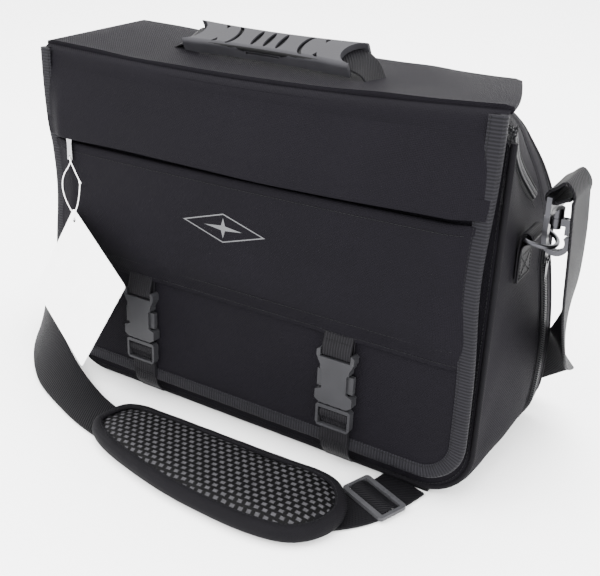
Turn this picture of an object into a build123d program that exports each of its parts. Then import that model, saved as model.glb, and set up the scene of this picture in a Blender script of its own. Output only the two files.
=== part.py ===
"""Soft flight bag with a buckled front flap, zips, carrying handle and shoulder strap.

Millimetres, +Z up. The origin is on the floor under the middle of the bag; the front faces -Y.
"""
from build123d import *
from math import atan, cos, degrees, radians, sin
import os

# ---------------------------------------------------------------- driving dimensions
# body
body_width = 406.0
body_height = 286.0       # top of the zipped body, under the flap
front_top_y = -52.0       # outside of the front panel at the body's top
front_low_y = -70.0       # outside of the front panel low down
divider_y = 37.0          # front face of the wall between main and rear compartments
rear_band_y = 52.0        # front edge of the rear section
back_top_y = 58.0         # outside of the back panel at the body's top
back_low_y = 73.0         # outside of the back panel low down
panel = 3.0               # padded panel
skin = 1.2                # unpadded cloth
bottom_thickness = 5.0
low_corner = 38.0         # round lower corners, seen from the front
high_corner = 26.0        # round upper corners of the rear section
front_panel_top = 281.0
front_panel_foot = 9.0
piping_radius = 2.5
soft_gap = 0.3            # between soft pieces that only touch

# organiser pocket on the front panel
organiser_space = 6.4
organiser_top = 54.0      # upper edge, below the front panel's top
organiser_drop = 216.0    # lower edge, below the front panel's top
organiser_width = 380.0
window_width = 130.0
window_height = 120.0

# zips
chain_width = 6.0
chain_thickness = 1.6
tape_width = 14.0
slider_length = 12.0
slider_width = 9.0
slider_height = 3.0       # front of the slider above the tape
slider_back = 0.8
slider_bridge = 3.0
puller_length = 24.0
side_zip_top = 170.0
side_zip_travel = 110.0
wedge_low_y = 21.0        # lower end of the main zip on the sides
wedge_low_z = 217.0
wedge_top_y = -44.0       # where the main zip turns on to the top

# flap
flap_width = 400.0
flap_drop = 272.0         # length of the flap's front, from the fold down
flap_lean = degrees(atan(20 / 262))
flap_top_thickness = 5.0
flap_top_z = 297.0
fold_y = -62.0
fold_gap = 2.0
hinge_y = 57.0
flap_corner = 35.0
binding_width = 3.0
flap_panel = 3.0          # padded back layer of the flap's front
pocket_space = 6.4        # room inside the flap pocket
pocket_skin = 1.5
pocket_top = 72.0         # flap pocket's upper edge, below the fold
pocket_hem = 176.0        # flap pocket's lower edge, below the fold
band_drop = 68.0          # storm band's lower edge, below the fold
band_skin = 1.6
mark_x = -8.0
mark_down = 113.0
mark_width = 78.0

# handle
grip_length = 160.0
grip_width = 32.0
grip_height = 11.0
grip_x = -8.0
grip_y = -12.0
grip_skew = -5.0
grip_rest = 3.0           # under the grip when it lies down
handle_webbing = 24.0

# buckles
webbing = 25.0
webbing_thickness = 1.4
buckle_x = 96.0
buckle_width = 32.0
buckle_thickness = 8.0
buckle_length = 68.0
housing_length = 46.0
buckle_top = 188.0        # upper end, below the fold
buckle_rise = 3.4         # back face in front of the flap's inner face
fit_gap = 0.3
squeeze = 3.0

# side hardware
ring_wire = 3.2
ring_width = 30.0
ring_reach = 18.0
ring_droop = 15.0
ring_y = -14.0
ring_z = 203.6
ring_slack = 2.4          # the hook's throat is centred this much above the ring's wire
tab_thickness = 2.4
tab_foot_z = 168.0
throat_radius = 6.2
claw_thickness = 5.0
claw_bar = 3.8
stem_radius = 2.5
stem_gap = 0.06
gate_gap = 0.2

# shoulder strap
strap_width = 38.0
strap_thickness = 2.0
strap_cross_x = 151.0     # where the strap passes under the bag
pad_foam = 9.5
pad_face = 1.5
pad_edge = 2.0
pad_rim = 7.0             # how far the binding laps on to the pad's face
pad_turn = -2.5
pad_loop_width = 20.0
loop_skin = 0.8
adjuster_x = 140.0
adjuster_y = -102.0
adjuster_turn = 68.0      # direction of the strap through the adjuster, from +X
adjuster_length = 26.0
adjuster_width = 46.0
adjuster_bar = 3.0

# hang tag
tag_side = 95.0
tag_thickness = 0.6
string_radius = 0.45
puller_x = -165.0

# ---------------------------------------------------------------- values worked out from them
side_x = body_width / 2
inner_x = side_x - panel
flap_half = flap_width / 2
flap_inner_half = flap_half - binding_width
slope = (front_low_y - front_top_y) / (body_height - 40.0)
panel_angle = degrees(atan(-slope))
fold_z = flap_top_z - 1.0
hinge_z = flap_top_z - flap_top_thickness
lean_cos = cos(radians(flap_lean))
lean_sin = sin(radians(flap_lean))
pocket_inside = flap_panel + pocket_space
pocket_outside = pocket_inside + pocket_skin
chain_low = flap_panel + 1.9
puller_rise = pocket_outside + 1.4
band_inside = puller_rise + 1.4
band_outside = band_inside + band_skin
channel_height = strap_thickness + 1.2

pieces = {}


def keep(label, piece):
    """Remember a finished piece under its node name."""
    piece.label = label
    pieces[label] = piece


def front_y(z):
    """Outside of the front panel at height z."""
    return front_top_y + slope * (body_height - z)


def back_y(z):
    """Outside of the back panel at height z."""
    return back_top_y + (back_low_y - back_top_y) * (body_height - z) / (body_height - 40.0)


def flap_face(rise):
    """Plane parallel to the flap's front: X to the right, Y up along the flap, Z outwards."""
    face = Plane(origin=(0, fold_y, fold_z), x_dir=(1, 0, 0), z_dir=(0, -lean_cos, lean_sin))
    return face.offset(rise)


def flap_side(x):
    """Plane across the flap's front at x: its X is the rise outwards, its Y the way down."""
    return Plane(origin=(x, fold_y, fold_z), x_dir=(0, -lean_cos, lean_sin), z_dir=(1, 0, 0))


def panel_face(rise):
    """Plane parallel to the front panel, with its origin at the panel's top edge."""
    turn = radians(panel_angle)
    face = Plane(
        origin=(0, front_y(front_panel_top), front_panel_top),
        x_dir=(1, 0, 0),
        z_dir=(0, -cos(turn), sin(turn)),
    )
    return face.offset(rise)


def panel_side(x):
    """Plane across the front panel at x: its X is the rise outwards, its Y the way down."""
    turn = radians(panel_angle)
    return Plane(
        origin=(x, front_y(front_panel_top), front_panel_top),
        x_dir=(0, -cos(turn), sin(turn)),
        z_dir=(1, 0, 0),
    )


def slab(plane, points, length):
    """Closed outline on a plane, pulled out along the plane's normal."""
    with BuildPart() as part:
        with BuildSketch(plane):
            with BuildLine():
                Polyline(*points, close=True)
            make_face()
        extrude(amount=length)
    return part.part


def body_slab(points, x_from, x_to):
    """Outline in (y, z) pulled across the bag from x_from to x_to."""
    return slab(Plane.YZ.offset(x_from), points, x_to - x_from)


def block(x, y, z):
    """Box between pairs of limits."""
    with BuildPart() as part:
        with Locations(((x[0] + x[1]) / 2, (y[0] + y[1]) / 2, (z[0] + z[1]) / 2)):
            Box(x[1] - x[0], y[1] - y[0], z[1] - z[0])
    return part.part


def round_face(half, low, top, low_radius, high_radius=0.0):
    """Face in the sketch being built, as wide as the bag, with round lower and upper corners."""
    spare = 100.0
    with Locations((0, (low + top + spare) / 2)):
        RectangleRounded(2 * half, top - low + spare, low_radius)
    with Locations((0, (low + top - spare) / 2)):
        if high_radius:
            RectangleRounded(2 * half, top - low + spare, high_radius, mode=Mode.INTERSECT)
        else:
            Rectangle(2 * half, top - low + spare, mode=Mode.INTERSECT)


def band(inset, thickness, y_from, y_to, low, low_radius, top, high_radius=0.0, lower=0.0):
    """Cloth band round the bag, seen from the front as a U, or as a ring when its top is round."""
    half = side_x - inset
    closed = high_radius > 0
    with BuildPart() as part:
        with BuildSketch(Plane.XZ.offset(-y_from)):
            round_face(half, low, top, low_radius, high_radius)
        extrude(amount=y_from - y_to)
        with BuildSketch(Plane.XZ.offset(-y_from)):
            round_face(half - thickness, low + thickness + lower, top - thickness if closed else top + 1,
                       low_radius - thickness, high_radius - thickness if closed else 0)
        extrude(amount=y_from - y_to, mode=Mode.SUBTRACT)
    return part.part


# ---------------------------------------------------------------- body panels
panel_half = side_x - piping_radius - 2.0
panel_drop = (front_panel_top - front_panel_foot) / cos(radians(panel_angle))
with BuildPart() as front_panel:
    with BuildSketch(panel_face(-panel)) as outline:
        with Locations((0, -panel_drop / 2)):
            Rectangle(2 * panel_half, panel_drop)
        fillet(outline.vertices().group_by(Axis.Z)[0], radius=low_corner)
    extrude(amount=panel)
keep("front_panel", front_panel.part)

piping_run = panel_half + piping_radius
with BuildPart() as front_piping:
    with BuildLine(panel_face(-panel / 2)) as edge:
        FilletPolyline(
            (-piping_run, -6),
            (-piping_run, -panel_drop - piping_radius),
            (piping_run, -panel_drop - piping_radius),
            (piping_run, -6),
            radius=low_corner + piping_radius,
        )
    with BuildSketch(Plane(origin=edge.line @ 0, z_dir=edge.line % 0)):
        Circle(piping_radius - 0.02)
    sweep()
keep("front_piping", front_piping.part)

# gusset: sides and bottom of the main compartment, cut to the piping in front and the wedges above
gusset_top = wedge_low_z - 3.0
with BuildPart() as gusset:
    add(band(0, panel, front_low_y - 5, divider_y, 0, low_corner, gusset_top, 0, bottom_thickness - panel))
    with BuildSketch(Plane.YZ.offset(-side_x - 1)):
        with BuildLine():
            seam = panel + piping_radius
            Polyline(
                (front_low_y - 6, gusset_top + 1),
                (front_y(gusset_top) + seam, gusset_top + 1),
                (front_y(0) + seam, -1),
                (front_low_y - 6, -1),
                close=True,
            )
        make_face()
    extrude(amount=body_width + 2, mode=Mode.SUBTRACT)
    with BuildSketch(Plane.XY):
        with Locations((strap_cross_x, 0)):
            Rectangle(strap_width + 6, 300)
    extrude(amount=channel_height, mode=Mode.SUBTRACT)
keep("gusset", gusset.part)

upper_side = [
    (divider_y + soft_gap, side_zip_top + 3), (rear_band_y, side_zip_top + 3), (rear_band_y, body_height - panel),
    (wedge_top_y + 5, body_height - panel), (wedge_low_y + 5, wedge_low_z + 3), (wedge_low_y + 5, gusset_top),
    (divider_y + soft_gap, gusset_top),
]
with BuildPart() as upper_sides:
    add(body_slab(upper_side, inner_x, side_x))
    add(body_slab(upper_side, -side_x, -inner_x))
keep("upper_sides", upper_sides.part)

wedge_front = panel + piping_radius
wedge_high = front_panel_top - 10.2
wedge = [
    (front_y(gusset_top) + wedge_front, gusset_top), (wedge_low_y - 5, gusset_top),
    (wedge_top_y - 1.5, wedge_high), (front_y(wedge_high) + wedge_front, wedge_high),
]
with BuildPart() as wedge_gussets:
    with BuildSketch(Plane.YZ.offset(inner_x), Plane.YZ.offset(-side_x)):
        with BuildLine():
            Polyline(*wedge, close=True)
        make_face()
    extrude(amount=panel)
keep("wedge_gussets", wedge_gussets.part)

keep("top_cover", body_slab(
    [(wedge_top_y + 5, body_height - panel), (rear_band_y, body_height - panel),
     (rear_band_y, body_height), (wedge_top_y + 5, body_height)], -side_x, side_x))

keep("base_board", block((-160, 160), (front_low_y + 14, divider_y - 4), (bottom_thickness, bottom_thickness + 2)))
keep("divider", block((-inner_x, inner_x), (divider_y, divider_y + panel), (low_corner, body_height - 22)))

with BuildPart() as rear_band:
    add(band(0, panel, rear_band_y, back_low_y + 6, 0, low_corner, body_height, high_corner,
             bottom_thickness - panel))
    with BuildSketch(Plane.YZ.offset(-side_x - 1)):
        with BuildLine():
            Polyline((back_y(body_height + 1) - panel, body_height + 1), (back_low_y + 9, body_height + 1),
                     (back_low_y + 9, -1), (back_y(-1) - panel, -1), close=True)
        make_face()
    extrude(amount=body_width + 2, mode=Mode.SUBTRACT)
    with BuildSketch(Plane.XY):
        with Locations((strap_cross_x, 0)):
            Rectangle(strap_width + 6, 300)
    extrude(amount=channel_height, mode=Mode.SUBTRACT)
keep("rear_band", rear_band.part)

back_angle = atan((back_low_y - back_top_y) / (body_height - 40.0))
back_face = Plane(
    origin=(0, back_y(body_height) - panel, body_height),
    x_dir=(-1, 0, 0), z_dir=(0, cos(back_angle), sin(back_angle)))
back_drop = body_height / cos(back_angle)
with BuildPart() as back_panel:
    with BuildSketch(back_face):
        round_face(side_x, 0.4 - back_drop, -0.6, low_corner, high_corner)
    extrude(amount=panel)
    with BuildSketch(Plane.XY):
        with Locations((strap_cross_x, 0)):
            Rectangle(strap_width + 6, 300)
    extrude(amount=channel_height, mode=Mode.SUBTRACT)
keep("back_panel", back_panel.part)

# organiser pocket and its clear window, under the flap
organiser_half = organiser_width / 2
organiser_rise = organiser_space + skin
with BuildPart() as organiser_pocket:
    with BuildSketch(panel_side(-organiser_half)):
        with BuildLine():
            Polyline(
                (organiser_space, organiser_top), (organiser_rise, organiser_top),
                (organiser_rise, organiser_drop), (0, organiser_drop),
                (0, organiser_drop - skin), (organiser_space, organiser_drop - skin),
                close=True,
            )
        make_face()
    extrude(amount=organiser_width)
    with BuildSketch(panel_side(-organiser_half), panel_side(organiser_half - skin)):
        with Locations((organiser_space / 2, (organiser_top + organiser_drop) / 2)):
            Rectangle(organiser_space, organiser_drop - organiser_top)
    extrude(amount=skin)
keep("organiser_pocket", organiser_pocket.part)

with BuildPart() as window_pocket:
    with BuildSketch(panel_face(organiser_rise)) as outline:
        with Locations((organiser_half - window_width / 2, -organiser_top - 20 - window_height / 2)):
            RectangleRounded(window_width, window_height, 6)
    extrude(amount=0.6)
keep("window_pocket", window_pocket.part)

# ---------------------------------------------------------------- zips
zip_y = (divider_y + rear_band_y) / 2
chain_down = organiser_top - chain_width / 2 - 1.0


def slider_block(plane, tape, back=True):
    """Zip slider on a plane lying on the tape's outer face: X is the way it slides, Z is outwards."""
    with BuildPart() as part:
        with BuildSketch(plane.offset(0.2)):
            with BuildLine():
                Polyline(
                    (-slider_length / 2, -slider_width / 2 + 1), (slider_length / 2 - 3, -slider_width / 2),
                    (slider_length / 2, -slider_width / 2 + 2.5), (slider_length / 2, slider_width / 2 - 2.5),
                    (slider_length / 2 - 3, slider_width / 2), (-slider_length / 2, slider_width / 2 - 1),
                    close=True,
                )
            make_face()
        extrude(amount=slider_height - 0.2)
        with BuildSketch(plane.offset(-1)):
            Rectangle(slider_length + 2, chain_width + 0.4)
        extrude(amount=chain_thickness + 1.2, mode=Mode.SUBTRACT)
        bridge = Plane(origin=plane.origin + plane.y_dir * 0.7, x_dir=plane.x_dir, z_dir=-plane.y_dir)
        with BuildSketch(bridge):
            with BuildLine():
                Polyline(
                    (-4, slider_height), (-4, slider_height + slider_bridge), (4, slider_height + slider_bridge),
                    (4, slider_height), (2.8, slider_height), (2.8, slider_height + slider_bridge - 1.2),
                    (-2.8, slider_height + slider_bridge - 1.2), (-2.8, slider_height), close=True)
            make_face()
        extrude(amount=1.4)
        if back:
            with BuildSketch(plane.offset(-tape - 0.2 - slider_back)):
                Rectangle(slider_length - 1, slider_width - 2)
            extrude(amount=slider_back)
    return part.part


def puller_plate(plane, length):
    """Zip puller on a plane: it hangs from the origin along the plane's -Y and has a hole in its end."""
    with BuildPart() as part:
        with BuildSketch(plane):
            with BuildLine():
                Polyline((-2.6, 2.2), (2.6, 2.2), (3.2, -6), (2.4, -10), (2.8, -length), (-2.8, -length),
                         (-2.4, -10), (-3.2, -6), close=True)
            make_face()
            with Locations((0, -1.2)):
                RectangleRounded(3.4, 4.4, 0.8, mode=Mode.SUBTRACT)
            with Locations((0, -length + 2.6)):
                Circle(1.3, mode=Mode.SUBTRACT)
        extrude(amount=1.0)
    return part.part


# main zip: up one side, across the top and down the other
def main_chain_side(x):
    """Sloping run of the main zip on one side of the bag."""
    return slab(Plane.YZ.offset(x), [
        (wedge_low_y - 3.5, wedge_low_z), (wedge_low_y + 2.5, wedge_low_z + 2),
        (wedge_top_y + 2.0, body_height - panel - 3), (wedge_top_y - 2.5, body_height - panel - 7),
    ], chain_thickness)


main_chain_z = body_height - panel + 0.7
with BuildPart() as main_zip_chain:
    add(main_chain_side(side_x - 2.3))
    add(main_chain_side(-side_x + 0.7))
    with Locations((0, wedge_top_y, main_chain_z + chain_thickness / 2)):
        Box(2 * inner_x, chain_width, chain_thickness)
    with Locations((0, wedge_top_y, main_chain_z - 0.3)):
        Box(2 * inner_x, chain_width + 3.4, 0.6)
keep("main_zip_chain", main_zip_chain.part)
main_slider_x = -inner_x + 16
main_slide = Plane(origin=(main_slider_x, wedge_top_y, main_chain_z), x_dir=(-1, 0, 0), z_dir=(0, 0, 1))
with BuildPart() as main_zip_slider:
    add(slider_block(main_slide, 0.6))
    lying = Plane(
        origin=main_slide.origin + Vector(3.6, 0, slider_height + 0.4), x_dir=(0, 1, 0), z_dir=(0, 0, 1))
    add(puller_plate(lying, 20.0))
keep("main_zip_slider", main_zip_slider.part)

# side zip: down the right, under the bag and up the left, with its tape
side_zip_low = channel_height + 0.3
with BuildPart() as side_zip_chain:
    add(band(1.6, 0.8, zip_y - tape_width / 2, zip_y + tape_width / 2, side_zip_low + chain_thickness,
             low_corner, side_zip_top))
    add(band(1.6 - chain_thickness, chain_thickness, zip_y - chain_width / 2, zip_y + chain_width / 2,
             side_zip_low, low_corner + chain_thickness, side_zip_top))
keep("side_zip_chain", side_zip_chain.part)
side_slider_z = side_zip_top - slider_length / 2
side_slide = Plane(origin=(side_x - chain_thickness, zip_y, side_slider_z), x_dir=(0, 0, 1), z_dir=(1, 0, 0))
keep("side_zip_slider", slider_block(side_slide, 0.8))
side_pull = side_slide.origin + Vector(slider_height + 0.4, 0, -3.6)
keep("side_zip_puller", puller_plate(Plane(origin=side_pull, x_dir=(0, 1, 0), z_dir=(1, 0, 0)), 34.0))

# organiser zip
organiser_chain_rise = 2.8
with BuildPart() as organiser_zip_chain:
    with BuildSketch(panel_face(organiser_chain_rise)):
        with Locations((0, -chain_down)):
            Rectangle(organiser_width - 16, chain_width)
    extrude(amount=chain_thickness)
    with BuildSketch(panel_face(organiser_chain_rise - 0.6)):
        with Locations((0, -chain_down)):
            Rectangle(organiser_width - 12, chain_width + 8)
    extrude(amount=0.6)
keep("organiser_zip_chain", organiser_zip_chain.part)
organiser_slider_x = -organiser_half + 22
organiser_slide = panel_face(organiser_chain_rise)
organiser_slide = Plane(
    origin=organiser_slide.from_local_coords((organiser_slider_x, -chain_down, 0)),
    x_dir=(-1, 0, 0), z_dir=organiser_slide.z_dir)
with BuildPart() as organiser_zip_slider:
    add(slider_block(organiser_slide, 0.6))
    lying = Plane(
        origin=organiser_slide.from_local_coords((-3.6, 0, slider_height + 0.4)),
        x_dir=organiser_slide.y_dir, z_dir=organiser_slide.z_dir)
    add(puller_plate(Plane(origin=lying.origin, x_dir=-lying.x_dir, z_dir=lying.z_dir), 20.0))
keep("organiser_zip_slider", organiser_zip_slider.part)

# ---------------------------------------------------------------- flap top and handle
with BuildPart() as flap_top_panel:
    with Locations((0, (fold_y + 0.5 + hinge_y - 0.5) / 2, (hinge_z + flap_top_z) / 2)):
        Box(flap_width, hinge_y - fold_y - 1.0, flap_top_thickness)
    fillet(flap_top_panel.edges().filter_by(Axis.Z), radius=4)
keep("flap_top_panel", flap_top_panel.part)

turn = radians(grip_skew)
grip_foot = Plane(
    origin=(grip_x, grip_y, flap_top_z + grip_rest), x_dir=(cos(turn), sin(turn), 0), z_dir=(0, 0, 1))
slot_low = 4.2
slot_height = webbing_thickness + 0.8
notch = grip_width / 2 - 3.2
with BuildPart() as handle_grip:
    with BuildSketch(grip_foot) as outline:
        with BuildLine():
            top_edge = ThreePointArc(
                (-grip_length / 2, grip_width / 2 - 1), (0, grip_width / 2 - 3.5), (grip_length / 2, grip_width / 2 - 1))
            low_edge = ThreePointArc(
                (-grip_length / 2, -grip_width / 2 + 1), (0, -grip_width / 2 + 3.5), (grip_length / 2, -grip_width / 2 + 1))
            Line(top_edge @ 0, low_edge @ 0)
            Line(top_edge @ 1, low_edge @ 1)
        make_face()
        with Locations((-grip_length / 2 - 1, 0), (grip_length / 2 + 1, 0)):
            Ellipse(14, notch, mode=Mode.SUBTRACT)
    extrude(amount=grip_height)
    long_edges = handle_grip.edges().group_by(Axis.Z)[-1].sort_by(SortBy.LENGTH)[-2:]
    fillet(long_edges, radius=3.5)
    with BuildSketch(grip_foot.offset(slot_low)):
        Rectangle(grip_length + 10, handle_webbing + 1.2)
    extrude(amount=slot_height, mode=Mode.SUBTRACT)
    with BuildSketch(grip_foot.offset(grip_height - 2.2)):
        for side in (-1, 1):
            for centre in (36.0, 50.0):
                with Locations((side * centre, 0)):
                    Ellipse(7.0, 11.0)
        for side in (-1, 1):
            for centre in (36.0, 50.0):
                with Locations((side * (centre + 5.0), 0)):
                    Ellipse(8.0, 12.0, mode=Mode.SUBTRACT)
        for centre in (-12.0, 0.0, 12.0):
            with Locations((centre, 0)):
                Ellipse(2.6, 9.0)
    extrude(amount=3.0, mode=Mode.SUBTRACT)
keep("handle_grip", handle_grip.part)

arm_foot = grip_length / 2 + 14
arm_end = arm_foot + 22
arm_top = grip_rest + slot_low + slot_height / 2
half_web = webbing_thickness / 2
grip_side = Plane(
    origin=grip_foot.origin - Vector(0, 0, grip_rest) - grip_foot.y_dir * (handle_webbing / 2),
    x_dir=grip_foot.x_dir, z_dir=grip_foot.y_dir)
keep("handle_webbing", slab(grip_side, [
    (-arm_end, -0.0), (-arm_foot, -0.0), (-grip_length / 2 + 4, -arm_top + half_web), (grip_length / 2 - 4, -arm_top + half_web),
    (arm_foot, 0.0), (arm_end, 0.0), (arm_end, -webbing_thickness), (arm_foot - 1, -webbing_thickness),
    (grip_length / 2 - 5, -arm_top - half_web), (-grip_length / 2 + 5, -arm_top - half_web),
    (-arm_foot + 1, -webbing_thickness), (-arm_end, -webbing_thickness)], handle_webbing))

# ---------------------------------------------------------------- flap front
with BuildPart() as flap_front_panel:
    with BuildSketch(flap_face(0)) as outline:
        with Locations((0, -(fold_gap + flap_drop - binding_width) / 2)):
            Rectangle(2 * flap_inner_half, flap_drop - binding_width - fold_gap)
        fillet(outline.vertices().group_by(Axis.Z)[0], radius=flap_corner - binding_width)
    extrude(amount=flap_panel)
keep("flap_front_panel", flap_front_panel.part)

binding_turn = flap_drop - flap_corner
binding_low = -0.6
binding_high = flap_panel + 0.6
with BuildPart() as flap_binding:
    with BuildSketch(flap_side(flap_inner_half), flap_side(-flap_half)):
        with BuildLine():
            Polyline(
                (binding_low, fold_gap), (flap_panel + 2, fold_gap), (band_outside + 0.6, 46),
                (band_outside + 0.6, band_drop + 1), (pocket_outside + 0.6, band_drop + 4),
                (pocket_outside + 0.6, pocket_hem), (binding_high, pocket_hem + 4),
                (binding_high, binding_turn), (binding_low, binding_turn), close=True)
        make_face()
    extrude(amount=binding_width)
    with BuildSketch(flap_face(binding_low)):
        with BuildLine():
            across_top = Line((-flap_half, -binding_turn), (-flap_inner_half, -binding_turn))
            inner_left = JernArc(across_top @ 1, (0, -1), flap_corner - binding_width, 90)
            inner_low = Line(inner_left @ 1, (flap_half - flap_corner, -flap_drop + binding_width))
            inner_right = JernArc(inner_low @ 1, (1, 0), flap_corner - binding_width, 90)
            Line(inner_right @ 1, (flap_half, -binding_turn))
            outer_left = JernArc(across_top @ 0, (0, -1), flap_corner, 90)
            outer_low = Line(outer_left @ 1, (flap_half - flap_corner, -flap_drop))
            JernArc(outer_low @ 1, (1, 0), flap_corner, 90)
        make_face()
    extrude(amount=binding_high - binding_low)
keep("flap_binding", flap_binding.part)


def flap_slab(points):
    """Outline in (rise, down) pulled across the whole width of the flap between its bindings."""
    return slab(flap_side(-flap_inner_half), points, 2 * flap_inner_half)


keep("storm_band", flap_slab([
    (flap_panel, fold_gap), (flap_panel + band_skin, fold_gap), (band_outside, 46), (band_outside, band_drop),
    (band_inside, band_drop), (band_inside, 46.6), (flap_panel, fold_gap + 2)]))
keep("flap_pocket", flap_slab([
    (chain_low, pocket_top), (chain_low + pocket_skin, pocket_top), (pocket_outside, pocket_top + 12),
    (pocket_outside, pocket_hem), (flap_panel, pocket_hem), (flap_panel, pocket_hem - 4),
    (pocket_inside, pocket_hem - 4), (pocket_inside, pocket_top + 12.5), (chain_low, pocket_top + 2)]))

flap_zip_down = band_drop - 5.0
with BuildPart() as flap_zip_chain:
    with BuildSketch(flap_face(chain_low)):
        with Locations((0, -flap_zip_down)):
            Rectangle(2 * flap_inner_half - 8, chain_width)
    extrude(amount=chain_thickness)
    with BuildSketch(flap_face(chain_low - 0.6)):
        with Locations((0, -flap_zip_down)):
            Rectangle(2 * flap_inner_half, tape_width + 8)
    extrude(amount=0.6)
keep("flap_zip_chain", flap_zip_chain.part)


def flap_at(x, down, rise):
    """Plane parallel to the flap's front with its origin at a place on it."""
    face = flap_face(rise)
    return Plane(origin=face.from_local_coords((x, -down, 0)), x_dir=face.x_dir, z_dir=face.z_dir)


def flap_point(x, down, rise):
    """Place on, or in front of, the flap's front."""
    return flap_at(x, down, rise).origin


keep("flap_zip_slider", slider_block(flap_at(puller_x, flap_zip_down, chain_low), 0.6))
window_low = chain_low + slider_height
window_high = window_low + slider_bridge - 1.2
bridge_high = window_low + slider_bridge
with BuildPart() as flap_zip_puller:
    with BuildSketch(flap_at(puller_x, flap_zip_down, puller_rise)):
        with BuildLine():
            Polyline((-2.6, 2.6), (2.6, 2.6), (3.2, -6), (2.4, -10), (2.8, -puller_length),
                     (-2.8, -puller_length), (-2.4, -10), (-3.2, -6), close=True)
        make_face()
        with Locations((0, -puller_length + 2.6)):
            Circle(1.3, mode=Mode.SUBTRACT)
    extrude(amount=1.0)
    with BuildSketch(flap_side(puller_x - 0.8)):
        with Locations(((window_low + 0.4 + puller_rise + 1.0) / 2, flap_zip_down)):
            Rectangle(puller_rise + 1.0 - window_low - 0.4, 4.8)
        with Locations(((window_high - 0.4 + puller_rise) / 2, flap_zip_down)):
            Rectangle(puller_rise - window_high + 0.4, 2.8, mode=Mode.SUBTRACT)
    extrude(amount=1.6)
keep("flap_zip_puller", flap_zip_puller.part)

# printed mark on the flap: a compass star in a lozenge, between two bars
half_mark = mark_width / 2
with BuildPart() as mark:
    with BuildSketch(flap_at(mark_x, mark_down, pocket_outside)):
        with BuildLine():
            Polyline((-half_mark, 0), (0, 12), (half_mark, 0), (0, -12), close=True)
        make_face()
        with BuildLine():
            Polyline((-half_mark + 5, 0), (0, 10.4), (half_mark - 5, 0), (0, -10.4), close=True)
        make_face(mode=Mode.SUBTRACT)
        with BuildLine():
            Polyline((0, 8), (1.8, 1.8), (18, 0), (1.8, -1.8), (0, -8), (-1.8, -1.8), (-18, 0), (-1.8, 1.8),
                     close=True)
        make_face()
    extrude(amount=0.4)
keep("mark", mark.part)

# ---------------------------------------------------------------- buckles
half_webbing = webbing / 2
cavity_half = 12.8
window_top = 17.4
window_foot = 32.6
housing_right = [
    (14.0, 0), (buckle_width / 2, -1.6), (buckle_width / 2, -6), (14.2, -10), (12.4, -13), (12.4, -16.4),
    (10.6, -window_top), (10.6, -window_foot), (12.4, -33.6), (buckle_width / 2, -35),
    (buckle_width / 2, -42.5), (12.0, -45.0),
]
prong_low = 2.1
prong_high = 5.9
male_top = housing_length + 1.0
inner_bar = (52.6, 55.4)


def both_sides(points):
    """Closed outline from its right half, listed from top to bottom."""
    return points + [(-x, y) for x, y in reversed(points)]


def buckle_at(x, rise=0.0):
    """Plane of a buckle: origin in the middle of its upper end, on its back, Y up the flap."""
    return flap_at(x, buckle_top, buckle_rise + rise)


def buckle_box(x, u, v, rise):
    """Box in a buckle's own directions: across, down from its upper end, and outwards."""
    with BuildPart() as part:
        with BuildSketch(buckle_at(x, rise[0])):
            with Locations(((u[0] + u[1]) / 2, -(v[0] + v[1]) / 2)):
                Rectangle(u[1] - u[0], v[1] - v[0])
        extrude(amount=rise[1] - rise[0])
    return part.part


def buckle_slab(x, points, width):
    """Outline in (rise, down from the buckle's upper end), pulled across the buckle's middle."""
    side = flap_side(x - width / 2)
    return slab(side, [(buckle_rise + rise, buckle_top + down) for rise, down in points], width)


def housing(x):
    """Socket half of a side-release buckle."""
    with BuildPart() as part:
        with BuildSketch(buckle_at(x)):
            with BuildLine():
                Polyline(*both_sides(housing_right), close=True)
            make_face()
        extrude(amount=buckle_thickness)
        add(buckle_box(x, (-12.9, 12.9), (-1, 6.6), (-1, 9)), mode=Mode.SUBTRACT)
        add(buckle_box(x, (-cavity_half, cavity_half), (window_top, 50), (1.8, 6.2)), mode=Mode.SUBTRACT)
        add(buckle_box(x, (-13.4, 13.4), (1.2, 4.2), (2.4, 5.6)))
    return part.part


def plug(x):
    """Prong half of the buckle without its prongs: tongue, base and ladder frame."""
    with BuildPart() as part:
        with BuildSketch(buckle_at(x, 1.0)):
            with BuildLine():
                Polyline(*both_sides([(13.0, -male_top), (15.0, -male_top - 1.5), (15.0, -63.0),
                                      (13.0, -buckle_length + 2)]), close=True)
            make_face()
        extrude(amount=6.0)
        add(buckle_box(x, (-12.9, 12.9), (50, 64), (0, 8)), mode=Mode.SUBTRACT)
        add(buckle_box(x, (-12.9, 12.9), (63, 67), (0, 3.9)), mode=Mode.SUBTRACT)
        add(buckle_box(x, (-13.2, 13.2), inner_bar, (2.2, 4.6)))
        add(buckle_box(x, (-3.2, 3.2), (22, male_top + 0.5), (prong_low, prong_high)))
    return part.part


def prong(x, side):
    """Springy arm of the prong half with its squeeze pad."""
    arm = sorted((side * 6.5, side * 9.5))
    pad = sorted((side * 9.4, side * 15.5))
    with BuildPart() as part:
        add(buckle_box(x, arm, (18, male_top - 0.02), (prong_low, prong_high)))
        add(buckle_box(x, pad, (18, window_foot - 0.5), (prong_low, prong_high)))
    return part.part


def upper_webbing(x):
    """Webbing loop from under the pocket's hem round the housing's bar."""
    hem = pocket_hem - buckle_top + 0.1
    low = flap_panel + 0.1 - buckle_rise
    with BuildPart() as part:
        add(buckle_slab(x, [
            (low, hem), (low + 2 * webbing_thickness, hem), (7.2, -1.0), (7.2, 4.6), (6.2, 5.8), (1.8, 5.8),
            (0.8, 4.6), (0.8, -1.0)], webbing))
        add(buckle_slab(x, [(2.2, 1.0), (5.8, 1.0), (5.8, 4.4), (2.2, 4.4)], webbing), mode=Mode.SUBTRACT)
    return part.part


webbing_foot = [(0.2, 86), (-9.6, 98.5), (-8.4, 99.4), (1.6, 87.4)]


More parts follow.
